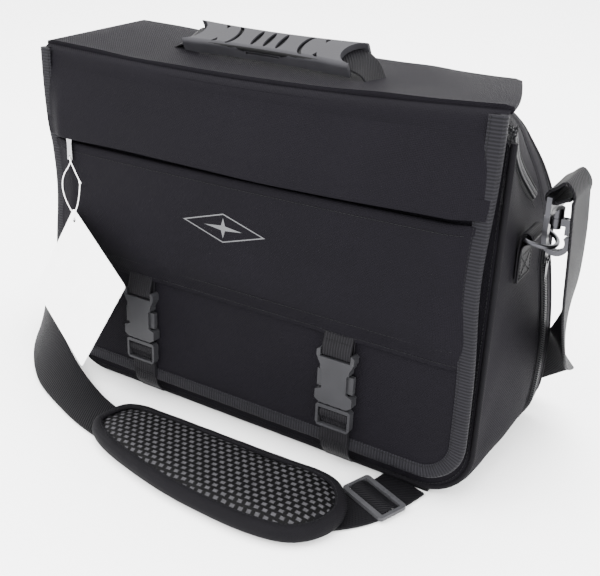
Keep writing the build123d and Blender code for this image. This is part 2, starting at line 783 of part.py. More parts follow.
def lower_webbing(x):
    """Adjusting webbing through the ladder frame, its tail, and the run down to the bottom seam."""
    with BuildPart() as part:
        add(buckle_slab(x, [
            (6.3, 57), (6.3, 51.8), (5.3, 50.8), (1.5, 50.8), (0.3, 51.8), (0.2, 60)] + webbing_foot + [
            (1.6, 81), (3.2, 81), (3.2, 61)], webbing))
        add(buckle_slab(x, [(1.9, 52.2), (4.9, 52.2), (4.9, 55.8), (1.9, 55.8)], webbing), mode=Mode.SUBTRACT)
    return part.part


def pair(piece_left, piece_right):
    """Two like pieces under one name."""
    with BuildPart() as part:
        add(piece_left)
        add(piece_right)
    return part.part


keep("buckle_housings", pair(housing(-buckle_x), housing(buckle_x)))
keep("webbing_upper", pair(upper_webbing(-buckle_x), upper_webbing(buckle_x)))
for label, x in (("left", -buckle_x), ("right", buckle_x)):
    keep("plug_" + label, plug(x))
    keep("webbing_lower_" + label, lower_webbing(x))
    keep("prong_" + label + "_a", prong(x, -1))
    keep("prong_" + label + "_b", prong(x, 1))

# ---------------------------------------------------------------- hang tag on its string
tag_corner = Vector(-160.4, -88, 170.4)
tag_across = Vector(0.849, -0.314, -0.425).normalized()
tag_down = Vector(-0.4815, -0.1466, -0.8645).normalized()
tag_normal = tag_across.cross(tag_down).normalized() * -1
tag_middle = tag_corner + (tag_across + tag_down) * (tag_side / 2)
tag_plane = Plane(origin=tag_middle, x_dir=tag_across, z_dir=tag_normal)
tag_hole = tag_plane.from_local_coords((-tag_side / 2 + 7, tag_side / 2 - 7, tag_thickness / 2))
with BuildPart() as hang_tag:
    with BuildSketch(tag_plane):
        RectangleRounded(tag_side, tag_side, 2.5)
        with Locations((-tag_side / 2 + 7, tag_side / 2 - 7)):
            Circle(2.2, mode=Mode.SUBTRACT)
    extrude(amount=tag_thickness)
keep("hang_tag", hang_tag.part)


def cord_radii(points):
    """Bend radii for a cord along a polyline: 0.45 of the shorter run over the tangent of half the turn."""
    radii = []
    for before, here, after in zip(points, points[1:], points[2:]):
        run_in = here - before
        run_out = after - here
        half_turn = radians(run_in.get_angle(run_out)) / 2
        radii.append(round(0.45 * min(run_in.length, run_out.length) / max(sin(half_turn) / cos(half_turn), 0.02), 2))
    return radii


string_down = flap_zip_down + puller_length - 2.6
string_points = [
    flap_point(-152.2, 103, 15.9),
    flap_point(puller_x + 2.4, 89.5, 14.4),
    flap_point(puller_x, string_down, 14.3),
    flap_point(puller_x, string_down, pocket_outside + 0.7),
    flap_point(puller_x - 1.2, 90.5, pocket_outside + 0.7),
    flap_point(-175.8, 104, 13.6),
    flap_point(-173.0, 120, 15.4),
    tag_hole - tag_normal * 2.4,
    tag_hole + tag_normal * 2.4,
    flap_point(-150.8, 119, 19.0),
    flap_point(-152.1, 103.6, 16.0),
]
string_bends = cord_radii(string_points)
print("string bends", string_bends)
with BuildPart() as tag_string:
    with BuildLine() as loop:
        FilletPolyline(*string_points, radius=string_bends)
    with BuildSketch(Plane(origin=loop.line @ 0, z_dir=loop.line % 0)):
        Circle(string_radius)
    sweep()
    with Locations(string_points[0] + (string_points[-1] - string_points[0]) * 0.5):
        Sphere(1.1)
keep("tag_string", tag_string.part)

# ---------------------------------------------------------------- side hardware, right; the left mirrors it
ring_bar_x = side_x + 5.4
droop = radians(ring_droop)
apex_x = ring_bar_x + ring_reach * cos(droop)
apex_z = ring_z - ring_reach * sin(droop)
claw_z = apex_z + ring_slack
wire = ring_wire / 2


def across(half_width, points, y=ring_y):
    """Outline in (x, z) pulled along Y, half_width to each side of y."""
    return slab(Plane.XZ.offset(-y - half_width), points, 2 * half_width)


def across_disc(half_width, x, z, radius):
    """Round disc with its axis along Y."""
    with BuildPart() as part:
        with BuildSketch(Plane.XZ.offset(-ring_y - half_width)):
            with Locations((x, z)):
                Circle(radius)
        extrude(amount=2 * half_width)
    return part.part


def mirrored(piece):
    """The same piece on the other side of the bag."""
    with BuildPart() as part:
        mirror(piece, about=Plane.YZ)
    return part.part


def keep_pair(name, piece):
    """Keep a piece for the right side and its mirror image for the left."""
    keep(name + "_right", piece)
    keep(name + "_left", mirrored(piece))


with BuildPart() as ring_tab:
    add(across(half_webbing, [(side_x, tab_foot_z), (side_x + tab_thickness, tab_foot_z),
                              (side_x + tab_thickness, ring_z + 2), (side_x, ring_z + 2)]))
    add(across_disc(half_webbing, ring_bar_x + 0.4, ring_z, wire + 2.8))
    add(across_disc(half_webbing, ring_bar_x + 0.4, ring_z, wire + 0.9), mode=Mode.SUBTRACT)
keep("ring_tabs", pair(mirrored(ring_tab.part), ring_tab.part))

ring_plane = Plane(
    origin=(ring_bar_x + 0.4, ring_y, ring_z), x_dir=(0, 1, 0), z_dir=(-sin(droop), 0, -cos(droop)))
with BuildPart() as d_ring:
    with BuildSketch(ring_plane.offset(-wire)):
        with Locations((0, 3)):
            Circle(ring_width / 2 + wire)
        with Locations((0, -50 - wire)):
            Rectangle(100, 100, mode=Mode.SUBTRACT)
        Rectangle(ring_width + ring_wire, ring_wire)
        with BuildSketch(mode=Mode.PRIVATE) as eye:
            with Locations((0, 3)):
                Circle(ring_width / 2 - wire)
            with Locations((0, -50 + wire)):
                Rectangle(100, 100, mode=Mode.SUBTRACT)
        add(eye.sketch, mode=Mode.SUBTRACT)
    extrude(amount=ring_wire)
keep_pair("d_ring", d_ring.part)

claw_out = throat_radius + claw_bar
head_low = 214.0
head_high = 219.0
pin_x = apex_x + 6.4
pin_z = (head_low + head_high) / 2
stem_x = apex_x - 1.8
half_claw = claw_thickness / 2
with BuildPart() as snap_hook:
    add(across_disc(half_claw, apex_x, claw_z, claw_out))
    add(across(half_claw, [(apex_x, claw_z), (apex_x + 30 * cos(radians(35)), claw_z + 30 * sin(radians(35))),
                           (apex_x + 30, claw_z + 40), (apex_x - 30, claw_z + 40), (apex_x - 30, claw_z)]),
        mode=Mode.SUBTRACT)
    add(across(half_claw, [(apex_x - claw_out, claw_z - 0.5), (apex_x - throat_radius, claw_z - 0.5),
                           (apex_x - throat_radius, head_low), (apex_x + 8.6, head_low),
                           (apex_x + 8.6, head_high), (apex_x - claw_out, head_high)]))
    add(across_disc(half_claw, apex_x, claw_z, throat_radius), mode=Mode.SUBTRACT)
    add(across(1.7, [(apex_x + 3.6, head_low - 1), (apex_x + 9, head_low - 1), (apex_x + 9, head_high + 1),
                     (apex_x + 3.6, head_high + 1)]), mode=Mode.SUBTRACT)
    add(across_disc(half_claw, pin_x, pin_z, 0.8))
    with Locations((stem_x, ring_y, pin_z)):
        Cylinder(4.6, head_high - head_low)
        Cylinder(stem_radius + stem_gap, 8, mode=Mode.SUBTRACT)
keep_pair("snap_hook", snap_hook.part)

gate_low = 207.4
with BuildPart() as hook_gate:
    add(across(1.5, [(pin_x - 1.5, gate_low), (pin_x + 1.5, gate_low), (pin_x + 1.5, pin_z), (pin_x - 1.5, pin_z)]))
    add(across_disc(1.5, pin_x, pin_z, 2.2))
    add(across_disc(1.5, pin_x, pin_z, 0.85), mode=Mode.SUBTRACT)
keep_pair("hook_gate", hook_gate.part)

with BuildPart() as swivel_eye:
    add(across(23, [(apex_x - 3.5, 226), (apex_x - 0.1, 226), (apex_x - 0.1, 240), (apex_x - 3.5, 240)]))
    add(across(20, [(apex_x - 4, 229.5), (apex_x, 229.5), (apex_x, 236.5), (apex_x - 4, 236.5)]),
        mode=Mode.SUBTRACT)
    with Locations((stem_x, ring_y, 222.8)):
        Cylinder(4.8, 6.8)
    with Locations((stem_x, ring_y, 216.6)):
        Cylinder(stem_radius, 8.4)
    with Locations((stem_x, ring_y, 212.4)):
        Cylinder(3.6, 2.6)
keep("swivel_eyes", pair(mirrored(swivel_eye.part), swivel_eye.part))

half_strap = strap_width / 2
with BuildPart() as strap_ear:
    add(across(half_strap, [
        (apex_x - 6, 233.8), (apex_x + 2.4, 233.8), (apex_x + 11.2, 238), (apex_x + 13.2, 238),
        (apex_x + 13.2, 244), (apex_x + 8, 251), (apex_x + 4.5, 250), (apex_x - 6, 242.5)]))
    add(across(half_strap, [(apex_x - 4, 236), (apex_x + 0.4, 236), (apex_x + 0.4, 240.5), (apex_x - 4, 240.5)]),
        mode=Mode.SUBTRACT)
keep("strap_ears", pair(mirrored(strap_ear.part), strap_ear.part))

# ---------------------------------------------------------------- shoulder strap
# each station: middle of the strap, direction of its width, direction it runs in
strap_start_x = apex_x + 12.2
through = (cos(radians(adjuster_turn)), sin(radians(adjuster_turn)), 0)
beside = (-through[1], through[0], 0)


def on_adjuster(along, z):
    """Strap station on the line through the adjuster."""
    place = (adjuster_x - along * through[0], adjuster_y - along * through[1], z)
    return place, beside, (-through[0], -through[1], 0)


pad_axis = (cos(radians(pad_turn)), sin(radians(pad_turn)), 0)
pad_middle = (14.0, -144.0)


def on_pad(along, z):
    """Strap station on the straight line under the pad."""
    place = (pad_middle[0] + along * pad_axis[0], pad_middle[1] + along * pad_axis[1], z)
    return place, (pad_axis[1], -pad_axis[0], 0), (-pad_axis[0], -pad_axis[1], 0)


strap_right_stations = [
    ((strap_start_x, ring_y, 237.9), (0, 1, 0), (0, 0, -1)),
    ((strap_start_x + 1.5, ring_y + 2, 200), (0, 1, 0.05), (0, 0.05, -1)),
    ((strap_start_x - 1, 0, 150), (-0.1, 0.95, 0.3), (-0.1, 0.3, -0.95)),
    ((228, 32, 100), (-0.5, 0.65, 0.75), (-0.35, 0.6, -0.75)),
    ((213, 86, 62), (-0.85, 0.1, 0.72), (-0.5, 0.55, -0.67)),
    ((182, 102, 32), (-0.95, 0, 0.57), (-0.5, 0.25, -0.83)),
    ((161, 103, 12), (-0.95, 0, 0.33), (-0.3, -0.4, -0.87)),
    ((strap_cross_x + 2, 90, 1.6), (-1, 0, 0), (0, -1, -0.1)),
    ((strap_cross_x, 70, 1.4), (-1, 0, 0), (0, -1, 0)),
    ((strap_cross_x, -70, 1.4), (-1, 0, 0), (0, -1, 0)),
]
strap_front_stations = [
    ((strap_cross_x, -70, 1.4), (-1, 0, 0), (0, -1, 0)),
    on_adjuster(-17, 1.4), on_adjuster(-9.5, 1.4), on_adjuster(-3, 6.0), on_adjuster(3, 6.0),
    on_adjuster(9.5, 1.4), on_adjuster(14, 1.4),
    ((122, -130, 1.9), (-0.5, 0.86, 0), (-0.86, -0.5, 0)),
    on_pad(84, 1.95), on_pad(-78, 1.95),
    ((-112, -132, 2.0), (0.2, 0.98, 0), (-0.98, 0.2, 0)),
    ((-150, -120, 3.0), (0.36, 0.93, 0.05), (-0.93, 0.36, 0)),
    ((-190, -104, 8.0), (0.45, 0.8, 0.3), (-0.87, 0.48, 0.03)),
    ((-228, -80, 14.5), (0.4, 0.6, 0.65), (-0.82, 0.57, 0)),
    ((-262, -52, 19.0), (0.25, 0.3, 0.92), (-0.75, 0.66, 0)),
    ((-284, -22, 20.2), (0.05, 0.05, 1), (-0.4, 0.92, 0)),
    ((-287, 8, 20.5), (0, 0, 1), (0.1, 1, 0)),
    ((-272, 36, 22.5), (0, 0, 1), (0.75, 0.65, 0)),
    ((-248, 49, 40.0), (-0.85, -0.3, 0.45), (0.45, 0.1, 0.9)),
    ((-237, 44, 75.0), (-0.5, -0.85, -0.08), (0.1, -0.15, 1)),
    ((-234, 26, 120.0), (-0.1, -0.97, -0.34), (0, -0.35, 1)),
    ((-239, 5, 170.0), (0, -1, -0.3), (0, -0.3, 1)),
    ((-strap_start_x, ring_y, 237.9), (0, -1, 0), (0, 0, 1)),
]


def strap_run(stations):
    """Strap through its stations, one flat cross-section at each."""
    with BuildPart() as part:
        for place, width_way, run_way in stations:
            with BuildSketch(Plane(origin=place, x_dir=width_way, z_dir=run_way)):
                Rectangle(strap_width, strap_thickness)
        loft(ruled=True)
    return part.part


keep("strap_right", strap_run(strap_right_stations))
keep("strap_front", strap_run(strap_front_stations))

adjuster_plane = Plane(origin=(adjuster_x, adjuster_y, 2.8), x_dir=through, z_dir=(0, 0, 1))
with BuildPart() as strap_adjuster:
    with BuildSketch(adjuster_plane):
        RectangleRounded(adjuster_length, adjuster_width, 3)
        with Locations((-5.25, 0), (5.25, 0)):
            RectangleRounded(7.5, strap_width + 2, 1, mode=Mode.SUBTRACT)
    extrude(amount=adjuster_bar)
    with BuildSketch(adjuster_plane.offset(2.0)):
        Rectangle(4, strap_width + 2)
    extrude(amount=4, mode=Mode.SUBTRACT)
keep("strap_adjuster", strap_adjuster.part)

# ---------------------------------------------------------------- shoulder pad
pad_low = 3.3
pad_outline = [
    (-104, -150), (-82, -165), (-48, -175), (0, -184), (40, -187), (78, -187), (110, -181), (128, -166),
    (136, -142), (106, -104), (60, -105), (4, -106), (-50, -107), (-97, -112),
]


def pad_layer(low, thickness, inset, hole=None):
    """Layer of the pad, drawn in from its outline, with the middle left out where a hole is given."""
    with BuildPart() as part:
        with BuildSketch(Plane.XY.offset(low)) as layer:
            with BuildLine():
                Polyline(*pad_outline, close=True)
            make_face()
            fillet(layer.vertices(), radius=7)
            if inset:
                offset(amount=-inset, mode=Mode.REPLACE)
        extrude(amount=thickness)
    if hole is None:
        return part.part
    with BuildPart() as ring:
        add(part.part)
        add(pad_layer(low, thickness, hole), mode=Mode.SUBTRACT)
    return ring.part


keep("pad_body", pad_layer(pad_low, pad_foam, pad_edge))
keep("pad_face", pad_layer(pad_low + pad_foam, pad_face, pad_rim))
with BuildPart() as pad_binding:
    add(pad_layer(pad_low + 0.6, pad_foam - 0.6, 0, pad_edge))
    add(pad_layer(pad_low + pad_foam, 1.2, 0, pad_rim))
keep("pad_binding", pad_binding.part)

loop_half = half_strap + 2.2
with BuildPart() as pad_loops:
    for along in (-60.0, 60.0):
        place, width_way, run_way = on_pad(along + pad_loop_width / 2, 0)
        with BuildSketch(Plane(origin=place, x_dir=width_way, z_dir=run_way)):
            with BuildLine():
                Polyline((-loop_half - loop_skin, 0), (loop_half + loop_skin, 0), (loop_half + loop_skin, pad_low),
                         (loop_half, pad_low), (loop_half, loop_skin), (-loop_half, loop_skin),
                         (-loop_half, pad_low), (-loop_half - loop_skin, pad_low), close=True)
            make_face()
        extrude(amount=pad_loop_width)
keep("pad_loops", pad_loops.part)

# ---------------------------------------------------------------- export
os.makedirs("parts", exist_ok=True)
for label, piece in pieces.items():
    export_step(piece, "parts/" + label + ".step")
print(len(pieces), "pieces")
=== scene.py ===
"""Soft goods, finishes and studio of a flight bag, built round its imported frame."""
import logging
import math
from dataclasses import dataclass
from enum import Enum
from typing import Callable, Optional, Sequence

import bmesh
import bpy
import numpy as np
from mathutils import Matrix, Vector
from mathutils.bvhtree import BVHTree


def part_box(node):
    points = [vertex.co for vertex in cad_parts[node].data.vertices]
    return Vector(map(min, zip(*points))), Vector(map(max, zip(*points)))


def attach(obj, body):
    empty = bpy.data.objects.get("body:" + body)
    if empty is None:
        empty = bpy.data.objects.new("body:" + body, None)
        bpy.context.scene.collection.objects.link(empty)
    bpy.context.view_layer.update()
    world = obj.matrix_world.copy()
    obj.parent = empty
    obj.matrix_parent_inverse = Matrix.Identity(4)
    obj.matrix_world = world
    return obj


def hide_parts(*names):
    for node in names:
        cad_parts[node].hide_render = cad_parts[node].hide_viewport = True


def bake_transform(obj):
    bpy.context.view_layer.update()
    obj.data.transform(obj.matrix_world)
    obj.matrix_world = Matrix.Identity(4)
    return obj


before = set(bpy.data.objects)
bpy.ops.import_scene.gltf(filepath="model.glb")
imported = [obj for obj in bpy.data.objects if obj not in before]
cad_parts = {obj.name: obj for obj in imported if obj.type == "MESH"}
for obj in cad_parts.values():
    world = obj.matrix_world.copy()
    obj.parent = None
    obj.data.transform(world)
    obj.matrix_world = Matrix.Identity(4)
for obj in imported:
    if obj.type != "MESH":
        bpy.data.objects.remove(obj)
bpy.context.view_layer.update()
MM = 0.001
LOG = logging.getLogger("flight_bag")


# ------------------------------------------------------------------ finishes
class Place(Enum):
    """Coordinates a finish is laid out in."""

    CLOTH = "UV"
    SOLID = "Object"


class Shader:
    """A material while its nodes are being joined up."""

    def __init__(self, name: str, roughness: float, metallic: float = 0.0, specular: float = 0.5) -> None:
        """Starts a material.

        Args:
            name: Name of the finish.
            roughness: Roughness where nothing varies it.
            metallic: 1 for bare metal.
            specular: Strength of the plain reflection.
        """
        self.material = bpy.data.materials.new(name)
        self.material.use_nodes = True
        self.nodes = self.material.node_tree.nodes
        self.links = self.material.node_tree.links
        self.skin = self.nodes["Principled BSDF"]
        self.skin.inputs["Roughness"].default_value = roughness
        self.skin.inputs["Metallic"].default_value = metallic
        self.skin.inputs["Specular IOR Level"].default_value = specular

    def where(self, place: Place) -> bpy.types.NodeSocket:
        """Coordinates in metres, on the cloth or in the solid."""
        return self.nodes.new("ShaderNodeTexCoord").outputs[place.value]

    def split(self, vector: bpy.types.NodeSocket) -> list[bpy.types.NodeSocket]:
        """The three parts of a vector."""
        node = self.nodes.new("ShaderNodeSeparateXYZ")
        self.links.new(vector, node.inputs[0])
        return list(node.outputs)

    def sum(self, kind: str, first: object, second: object = 0.0) -> bpy.types.NodeSocket:
        """One step of arithmetic.

        Args:
            kind: Name of the operation.
            first: Number or socket.
            second: Number or socket.

        Returns:
            The socket with the result.
        """
        node = self.nodes.new("ShaderNodeMath")
        node.operation = kind
        for socket, value in zip(node.inputs, (first, second)):
            if isinstance(value, (int, float)):
                socket.default_value = value
            else:
                self.links.new(value, socket)
        return node.outputs[0]

    def noise(self, vector: bpy.types.NodeSocket, scale: float, detail: float = 3.0) -> bpy.types.NodeSocket:
        """Cloudy variation, scale being features in a metre."""
        node = self.nodes.new("ShaderNodeTexNoise")
        node.inputs["Scale"].default_value = scale
        node.inputs["Detail"].default_value = detail
        self.links.new(vector, node.inputs["Vector"])
        return node.outputs[0]

    def blend(self, factor: object, dark: Sequence[float], light: Sequence[float]) -> bpy.types.NodeSocket:
        """A colour between two.

        Args:
            factor: Socket from 0, dark, to 1, light.
            dark: Red, green and blue of the darker colour.
            light: Red, green and blue of the lighter colour.

        Returns:
            The socket with the colour.
        """
        node = self.nodes.new("ShaderNodeMix")
        node.data_type = "RGBA"
        self.links.new(factor, node.inputs["Factor"])
        for socket, value in ((node.inputs[6], dark), (node.inputs[7], light)):
            if isinstance(value, bpy.types.NodeSocket):
                self.links.new(value, socket)
            else:
                socket.default_value = (*value, 1.0)
        return node.outputs[2]

    def colour(self, socket: bpy.types.NodeSocket) -> None:
        """Gives the skin its colour."""
        self.links.new(socket, self.skin.inputs["Base Color"])

    def rough(self, factor: bpy.types.NodeSocket, low: float, high: float) -> None:
        """Lets the roughness vary between two values."""
        node = self.nodes.new("ShaderNodeMapRange")
        self.links.new(factor, node.inputs["Value"])
        node.inputs["To Min"].default_value = low
        node.inputs["To Max"].default_value = high
        self.links.new(node.outputs[0], self.skin.inputs["Roughness"])

    def relief(self, height: bpy.types.NodeSocket, strength: float, depth: float) -> None:
        """Raises the surface by a height, depth being in metres."""
        node = self.nodes.new("ShaderNodeBump")
        node.inputs["Strength"].default_value = strength
        node.inputs["Distance"].default_value = depth
        self.links.new(height, node.inputs["Height"])
        self.links.new(node.outputs[0], self.skin.inputs["Normal"])


def threads(shader: Shader, u: object, v: object, pitch: float) -> bpy.types.NodeSocket:
    """Over-and-under height of a plain weave.

    Args:
        shader: Material being made.
        u: Place across the warp.
        v: Place across the weft.
        pitch: Distance between threads, in metres.

    Returns:
        The height, from 0 to 1.
    """
    warp = shader.sum("SINE", shader.sum("MULTIPLY", u, math.pi / pitch))
    weft = shader.sum("SINE", shader.sum("MULTIPLY", v, math.pi / pitch))
    over = shader.sum("GREATER_THAN", shader.sum("MULTIPLY", warp, weft), 0.0)
    raised = shader.sum("MULTIPLY", over, shader.sum("ABSOLUTE", weft))
    sunk = shader.sum("MULTIPLY", shader.sum("SUBTRACT", 1.0, over), shader.sum("ABSOLUTE", warp))
    return shader.sum("ADD", raised, sunk)


@dataclass(frozen=True)
class Woven:
    """Coarse coated polyester weave."""

    name: str
    dark: tuple[float, float, float]
    light: tuple[float, float, float]
    pitch: float = 0.0011
    roughness: float = 0.74
    relief: float = 0.55
    sheen: float = 0.0015
    place: Place = Place.CLOTH

    def material(self) -> bpy.types.Material:
        """Makes the material: threads, slubs, a little dust and uneven wear."""
        shader = Shader(self.name, self.roughness, specular=0.03)
        where = shader.where(self.place)
        x, y, z = shader.split(where)
        if self.place is Place.SOLID:
            x, y = shader.sum("ADD", x, z), shader.sum("ADD", y, z)
        weave = threads(shader, x, y, self.pitch)
        cloudy = shader.noise(where, 14.0, 4.0)
        grain = shader.noise(where, 900.0, 2.0)
        slub = shader.noise(where, 260.0, 2.0)
        tone = shader.sum("MULTIPLY", weave, 0.42)
        tone = shader.sum("ADD", tone, shader.sum("MULTIPLY", cloudy, 0.36))
        tone = shader.sum("ADD", tone, shader.sum("MULTIPLY", shader.sum("ADD", grain, slub), 0.16))
        shader.colour(shader.blend(tone, self.dark, self.light))
        shader.rough(cloudy, self.roughness - 0.09, self.roughness + 0.09)
        height = shader.sum("ADD", weave, shader.sum("MULTIPLY", slub, 0.8))
        shader.relief(height, self.relief, 0.00045)
        shader.skin.inputs["Sheen Weight"].default_value = self.sheen
        shader.skin.inputs["Sheen Roughness"].default_value = 0.55
        return shader.material


@dataclass(frozen=True)
class Ribbed:
    """Narrow woven tape: webbing, grosgrain binding or zip tape."""

    name: str
    dark: tuple[float, float, float]
    light: tuple[float, float, float]
    rib: float = 0.0016
    across: bool = True
    roughness: float = 0.6
    relief: float = 0.7
    slant: float = 0.0

    def material(self) -> bpy.types.Material:
        """Makes the material: ribs, fine threads between them and worn tops."""
        shader = Shader(self.name, self.roughness, specular=0.05)
        where = shader.where(Place.CLOTH)
        u, v, _ = shader.split(where)
        run, side = (u, v) if self.across else (v, u)
        leaning = shader.sum("ADD", run, shader.sum("MULTIPLY", side, self.slant))
        wave = shader.sum("SINE", shader.sum("MULTIPLY", leaning, 2 * math.pi / self.rib))
        ribs = shader.sum("ADD", shader.sum("MULTIPLY", wave, 0.5), 0.5)
        fine = shader.sum("ABSOLUTE", shader.sum("SINE", shader.sum("MULTIPLY", side, math.pi / 0.0008)))
        cloudy = shader.noise(where, 30.0, 3.0)
        tone = shader.sum("ADD", shader.sum("MULTIPLY", ribs, 0.5), shader.sum("MULTIPLY", cloudy, 0.35))
        tone = shader.sum("ADD", tone, shader.sum("MULTIPLY", fine, 0.15))
        shader.colour(shader.blend(tone, self.dark, self.light))
        shader.rough(cloudy, self.roughness - 0.08, self.roughness + 0.08)
        height = shader.sum("ADD", ribs, shader.sum("MULTIPLY", fine, 0.3))
        shader.relief(height, self.relief, 0.0005)
        shader.skin.inputs["Sheen Weight"].default_value = 0.0015
        return shader.material


@dataclass(frozen=True)
class Moulded:
    """Moulded plastic, rubber, card or painted metal with a fine grain."""

    name: str
    dark: tuple[float, float, float]
    light: tuple[float, float, float]
    roughness: float = 0.42
    metallic: float = 0.0
    grain: float = 900.0
    relief: float = 0.15
    coat: float = 0.0
    gloss: float = 0.12

    def material(self) -> bpy.types.Material:
        """Makes the material: spark grain, scuffs and a change of tone."""
        shader = Shader(self.name, self.roughness, self.metallic, self.gloss)
        where = shader.where(Place.SOLID)
        grain = shader.noise(where, self.grain, 2.0)
        scuff = shader.noise(where, 60.0, 5.0)
        shader.colour(shader.blend(scuff, self.dark, self.light))
        shader.rough(scuff, self.roughness - 0.08, self.roughness + 0.12)
        shader.relief(grain, self.relief, 0.0002)
        shader.skin.inputs["Coat Weight"].default_value = self.coat
        return shader.material


@dataclass(frozen=True)
class Grip:
    """Grip plastic with painted shade, near black, in its shallow recesses."""

    name: str = "grip_plastic"

    def material(self) -> bpy.types.Material:
        """Makes the material: grey plastic, painted near black as shade where the recess floors are."""
        shader = Shader(self.name, 0.5, specular=0.12)
        where = shader.where(Place.SOLID)
        recess = shader.nodes.new("ShaderNodeAttribute")
        recess.attribute_name = "recess"
        sunk = shader.sum("GREATER_THAN", recess.outputs["Fac"], 0.6)
        scuff = shader.noise(where, 70.0, 5.0)
        face = shader.blend(scuff, (0.013, 0.0128, 0.0148), (0.024, 0.0235, 0.0265))
        # Recess floors painted near black: painted shade in the grip's recesses.
        shader.colour(shader.blend(sunk, face, (0.0012, 0.0012, 0.0015)))
        shader.rough(scuff, 0.42, 0.62)
        shader.relief(shader.noise(where, 700.0, 2.0), 0.25, 0.0002)
        return shader.material


@dataclass(frozen=True)
class Basket:
    """Anti-slip face of the shoulder pad: pale bars in a dark ground."""

    name: str = "basket_weave"
    turn: float = -2.5
    bar: float = 0.0072
    row: float = 0.0050

    def material(self) -> bpy.types.Material:
        """Makes the material: rows of raised bars, each row half a bar along from the last."""
        shader = Shader(self.name, 0.62, specular=0.06)
        where = shader.where(Place.SOLID)
        turned = shader.nodes.new("ShaderNodeMapping")
        turned.inputs["Rotation"].default_value = (0.0, 0.0, math.radians(self.turn))
        shader.links.new(where, turned.inputs["Vector"])
        u, v, _ = shader.split(turned.outputs[0])
        row = shader.sum("DIVIDE", v, self.row)
        shift = shader.sum("MULTIPLY", shader.sum("MODULO", shader.sum("ADD", shader.sum("FLOOR", row), 400.0), 2.0), 0.5)
        along = shader.sum("ADD", shader.sum("DIVIDE", u, self.bar), shift)
        across = shader.sum("ABSOLUTE", shader.sum("SUBTRACT", shader.sum("FRACT", shader.sum("ADD", row, 400.0)), 0.5))
        length = shader.sum("ABSOLUTE", shader.sum("SUBTRACT", shader.sum("FRACT", shader.sum("ADD", along, 400.0)), 0.5))
        inside = shader.sum("MINIMUM", shader.sum("SUBTRACT", 0.36, across), shader.sum("SUBTRACT", 0.33, length))
        bar = shader.sum("MULTIPLY", inside, 9.0)
        bar = shader.sum("MINIMUM", shader.sum("MAXIMUM", bar, 0.0), 1.0)
        fibre = shader.noise(where, 500.0, 2.0)
        cord = shader.blend(fibre, (0.012, 0.0118, 0.013), (0.050, 0.049, 0.053))
        shader.colour(shader.blend(bar, (0.0012, 0.0011, 0.0013), cord))
        shader.rough(fibre, 0.5, 0.75)
        shader.relief(shader.sum("ADD", bar, shader.sum("MULTIPLY", fibre, 0.2)), 0.9, 0.0012)
        return shader.material


@dataclass(frozen=True)
class ClearVinyl:
    """Clear flexible vinyl of the window pocket."""

    name: str = "clear_vinyl"

    def material(self) -> bpy.types.Material:
        """Makes the material: pale, glossy and slightly rippled."""
        shader = Shader(self.name, 0.12)
        where = shader.where(Place.CLOTH)
        ripple = shader.noise(where, 40.0, 3.0)
        shader.colour(shader.blend(ripple, (0.03, 0.027, 0.026), (0.12, 0.11, 0.104)))
        shader.rough(ripple, 0.08, 0.3)
        shader.relief(ripple, 0.5, 0.0015)
        shader.skin.inputs["Alpha"].default_value = 0.55
        return shader.material


INK = (0.0006, 0.00055, 0.0008)
SOOT = (0.0058, 0.0052, 0.0070)


class Palette:
    """Every finish of the bag, made once."""

    def __init__(self) -> None:
        """Makes the materials."""
        self.cloth = Woven("coarse_cloth", INK, SOOT).material()
        self.lining = Woven("lining_cloth", (0.0007, 0.0007, 0.0009), (0.005, 0.005, 0.006), 0.0008).material()
        self.soft = Woven("pad_cloth", (0.0007, 0.0007, 0.0009), (0.0055, 0.0053, 0.0063), 0.0010,
                          place=Place.SOLID).material()
        self.piping = Woven("piping_cloth", (0.0008, 0.0008, 0.001), (0.0062, 0.0058, 0.007), 0.0009,
                            roughness=0.62).material()
        self.binding = Ribbed("ribbed_binding", (0.0012, 0.0012, 0.0015), (0.0125, 0.012, 0.0145), 0.0024).material()
        self.webbing = Ribbed("strap_webbing", (0.0008, 0.0008, 0.001), (0.0065, 0.0062, 0.0074), 0.0026,
                              slant=0.9, roughness=0.55).material()
        self.tab = Ribbed("ribbed_webbing", (0.001, 0.001, 0.0012), (0.0095, 0.009, 0.0105), 0.0022,
                          across=False).material()
        self.tape = Ribbed("zip_tape", (0.0006, 0.0006, 0.0008), (0.004, 0.004, 0.005), 0.0011).material()
        self.coil = Moulded("coil_zip", (0.003, 0.003, 0.0035), (0.012, 0.012, 0.014), 0.38).material()
        self.thread = Moulded("thread", (0.0008, 0.0008, 0.001), (0.006, 0.006, 0.007), 0.7).material()
        self.buckle = Moulded("buckle_plastic", (0.010, 0.010, 0.0112), (0.019, 0.019, 0.021), 0.46).material()
        self.adjuster = Moulded("adjuster_plastic", (0.02, 0.02, 0.022), (0.045, 0.045, 0.048), 0.28).material()
        self.metal = Moulded("dark_nickel", (0.022, 0.022, 0.025), (0.06, 0.06, 0.065), 0.32, 1.0, 500.0, 0.1).material()
        self.slider = Moulded("slider_enamel", (0.003, 0.003, 0.0035), (0.010, 0.010, 0.012), 0.36, 0.3).material()
        self.bright = Moulded("bright_puller", (0.20, 0.20, 0.205), (0.36, 0.36, 0.365), 0.24, 1.0, 300.0, 0.1).material()
        self.card = Moulded("white_card", (0.86, 0.86, 0.86), (0.95, 0.95, 0.95), 0.62, 0.0, 600.0, 0.2).material()
        self.string = Moulded("white_string", (0.80, 0.80, 0.80), (0.93, 0.93, 0.93), 0.7, 0.0, 2500.0, 0.6).material()
        self.print = Moulded("pale_print", (0.045, 0.045, 0.048), (0.09, 0.09, 0.094), 0.5, 0.0, 1800.0, 0.5).material()
        self.grip = Grip().material()
        self.basket = Basket().material()
        self.vinyl = ClearVinyl().material()


# ------------------------------------------------------------------ mesh tools
def unit(vectors: np.ndarray) -> np.ndarray:
    """Vectors made one long."""
    return vectors / np.maximum(np.linalg.norm(vectors, axis=-1, keepdims=True), 1e-9)


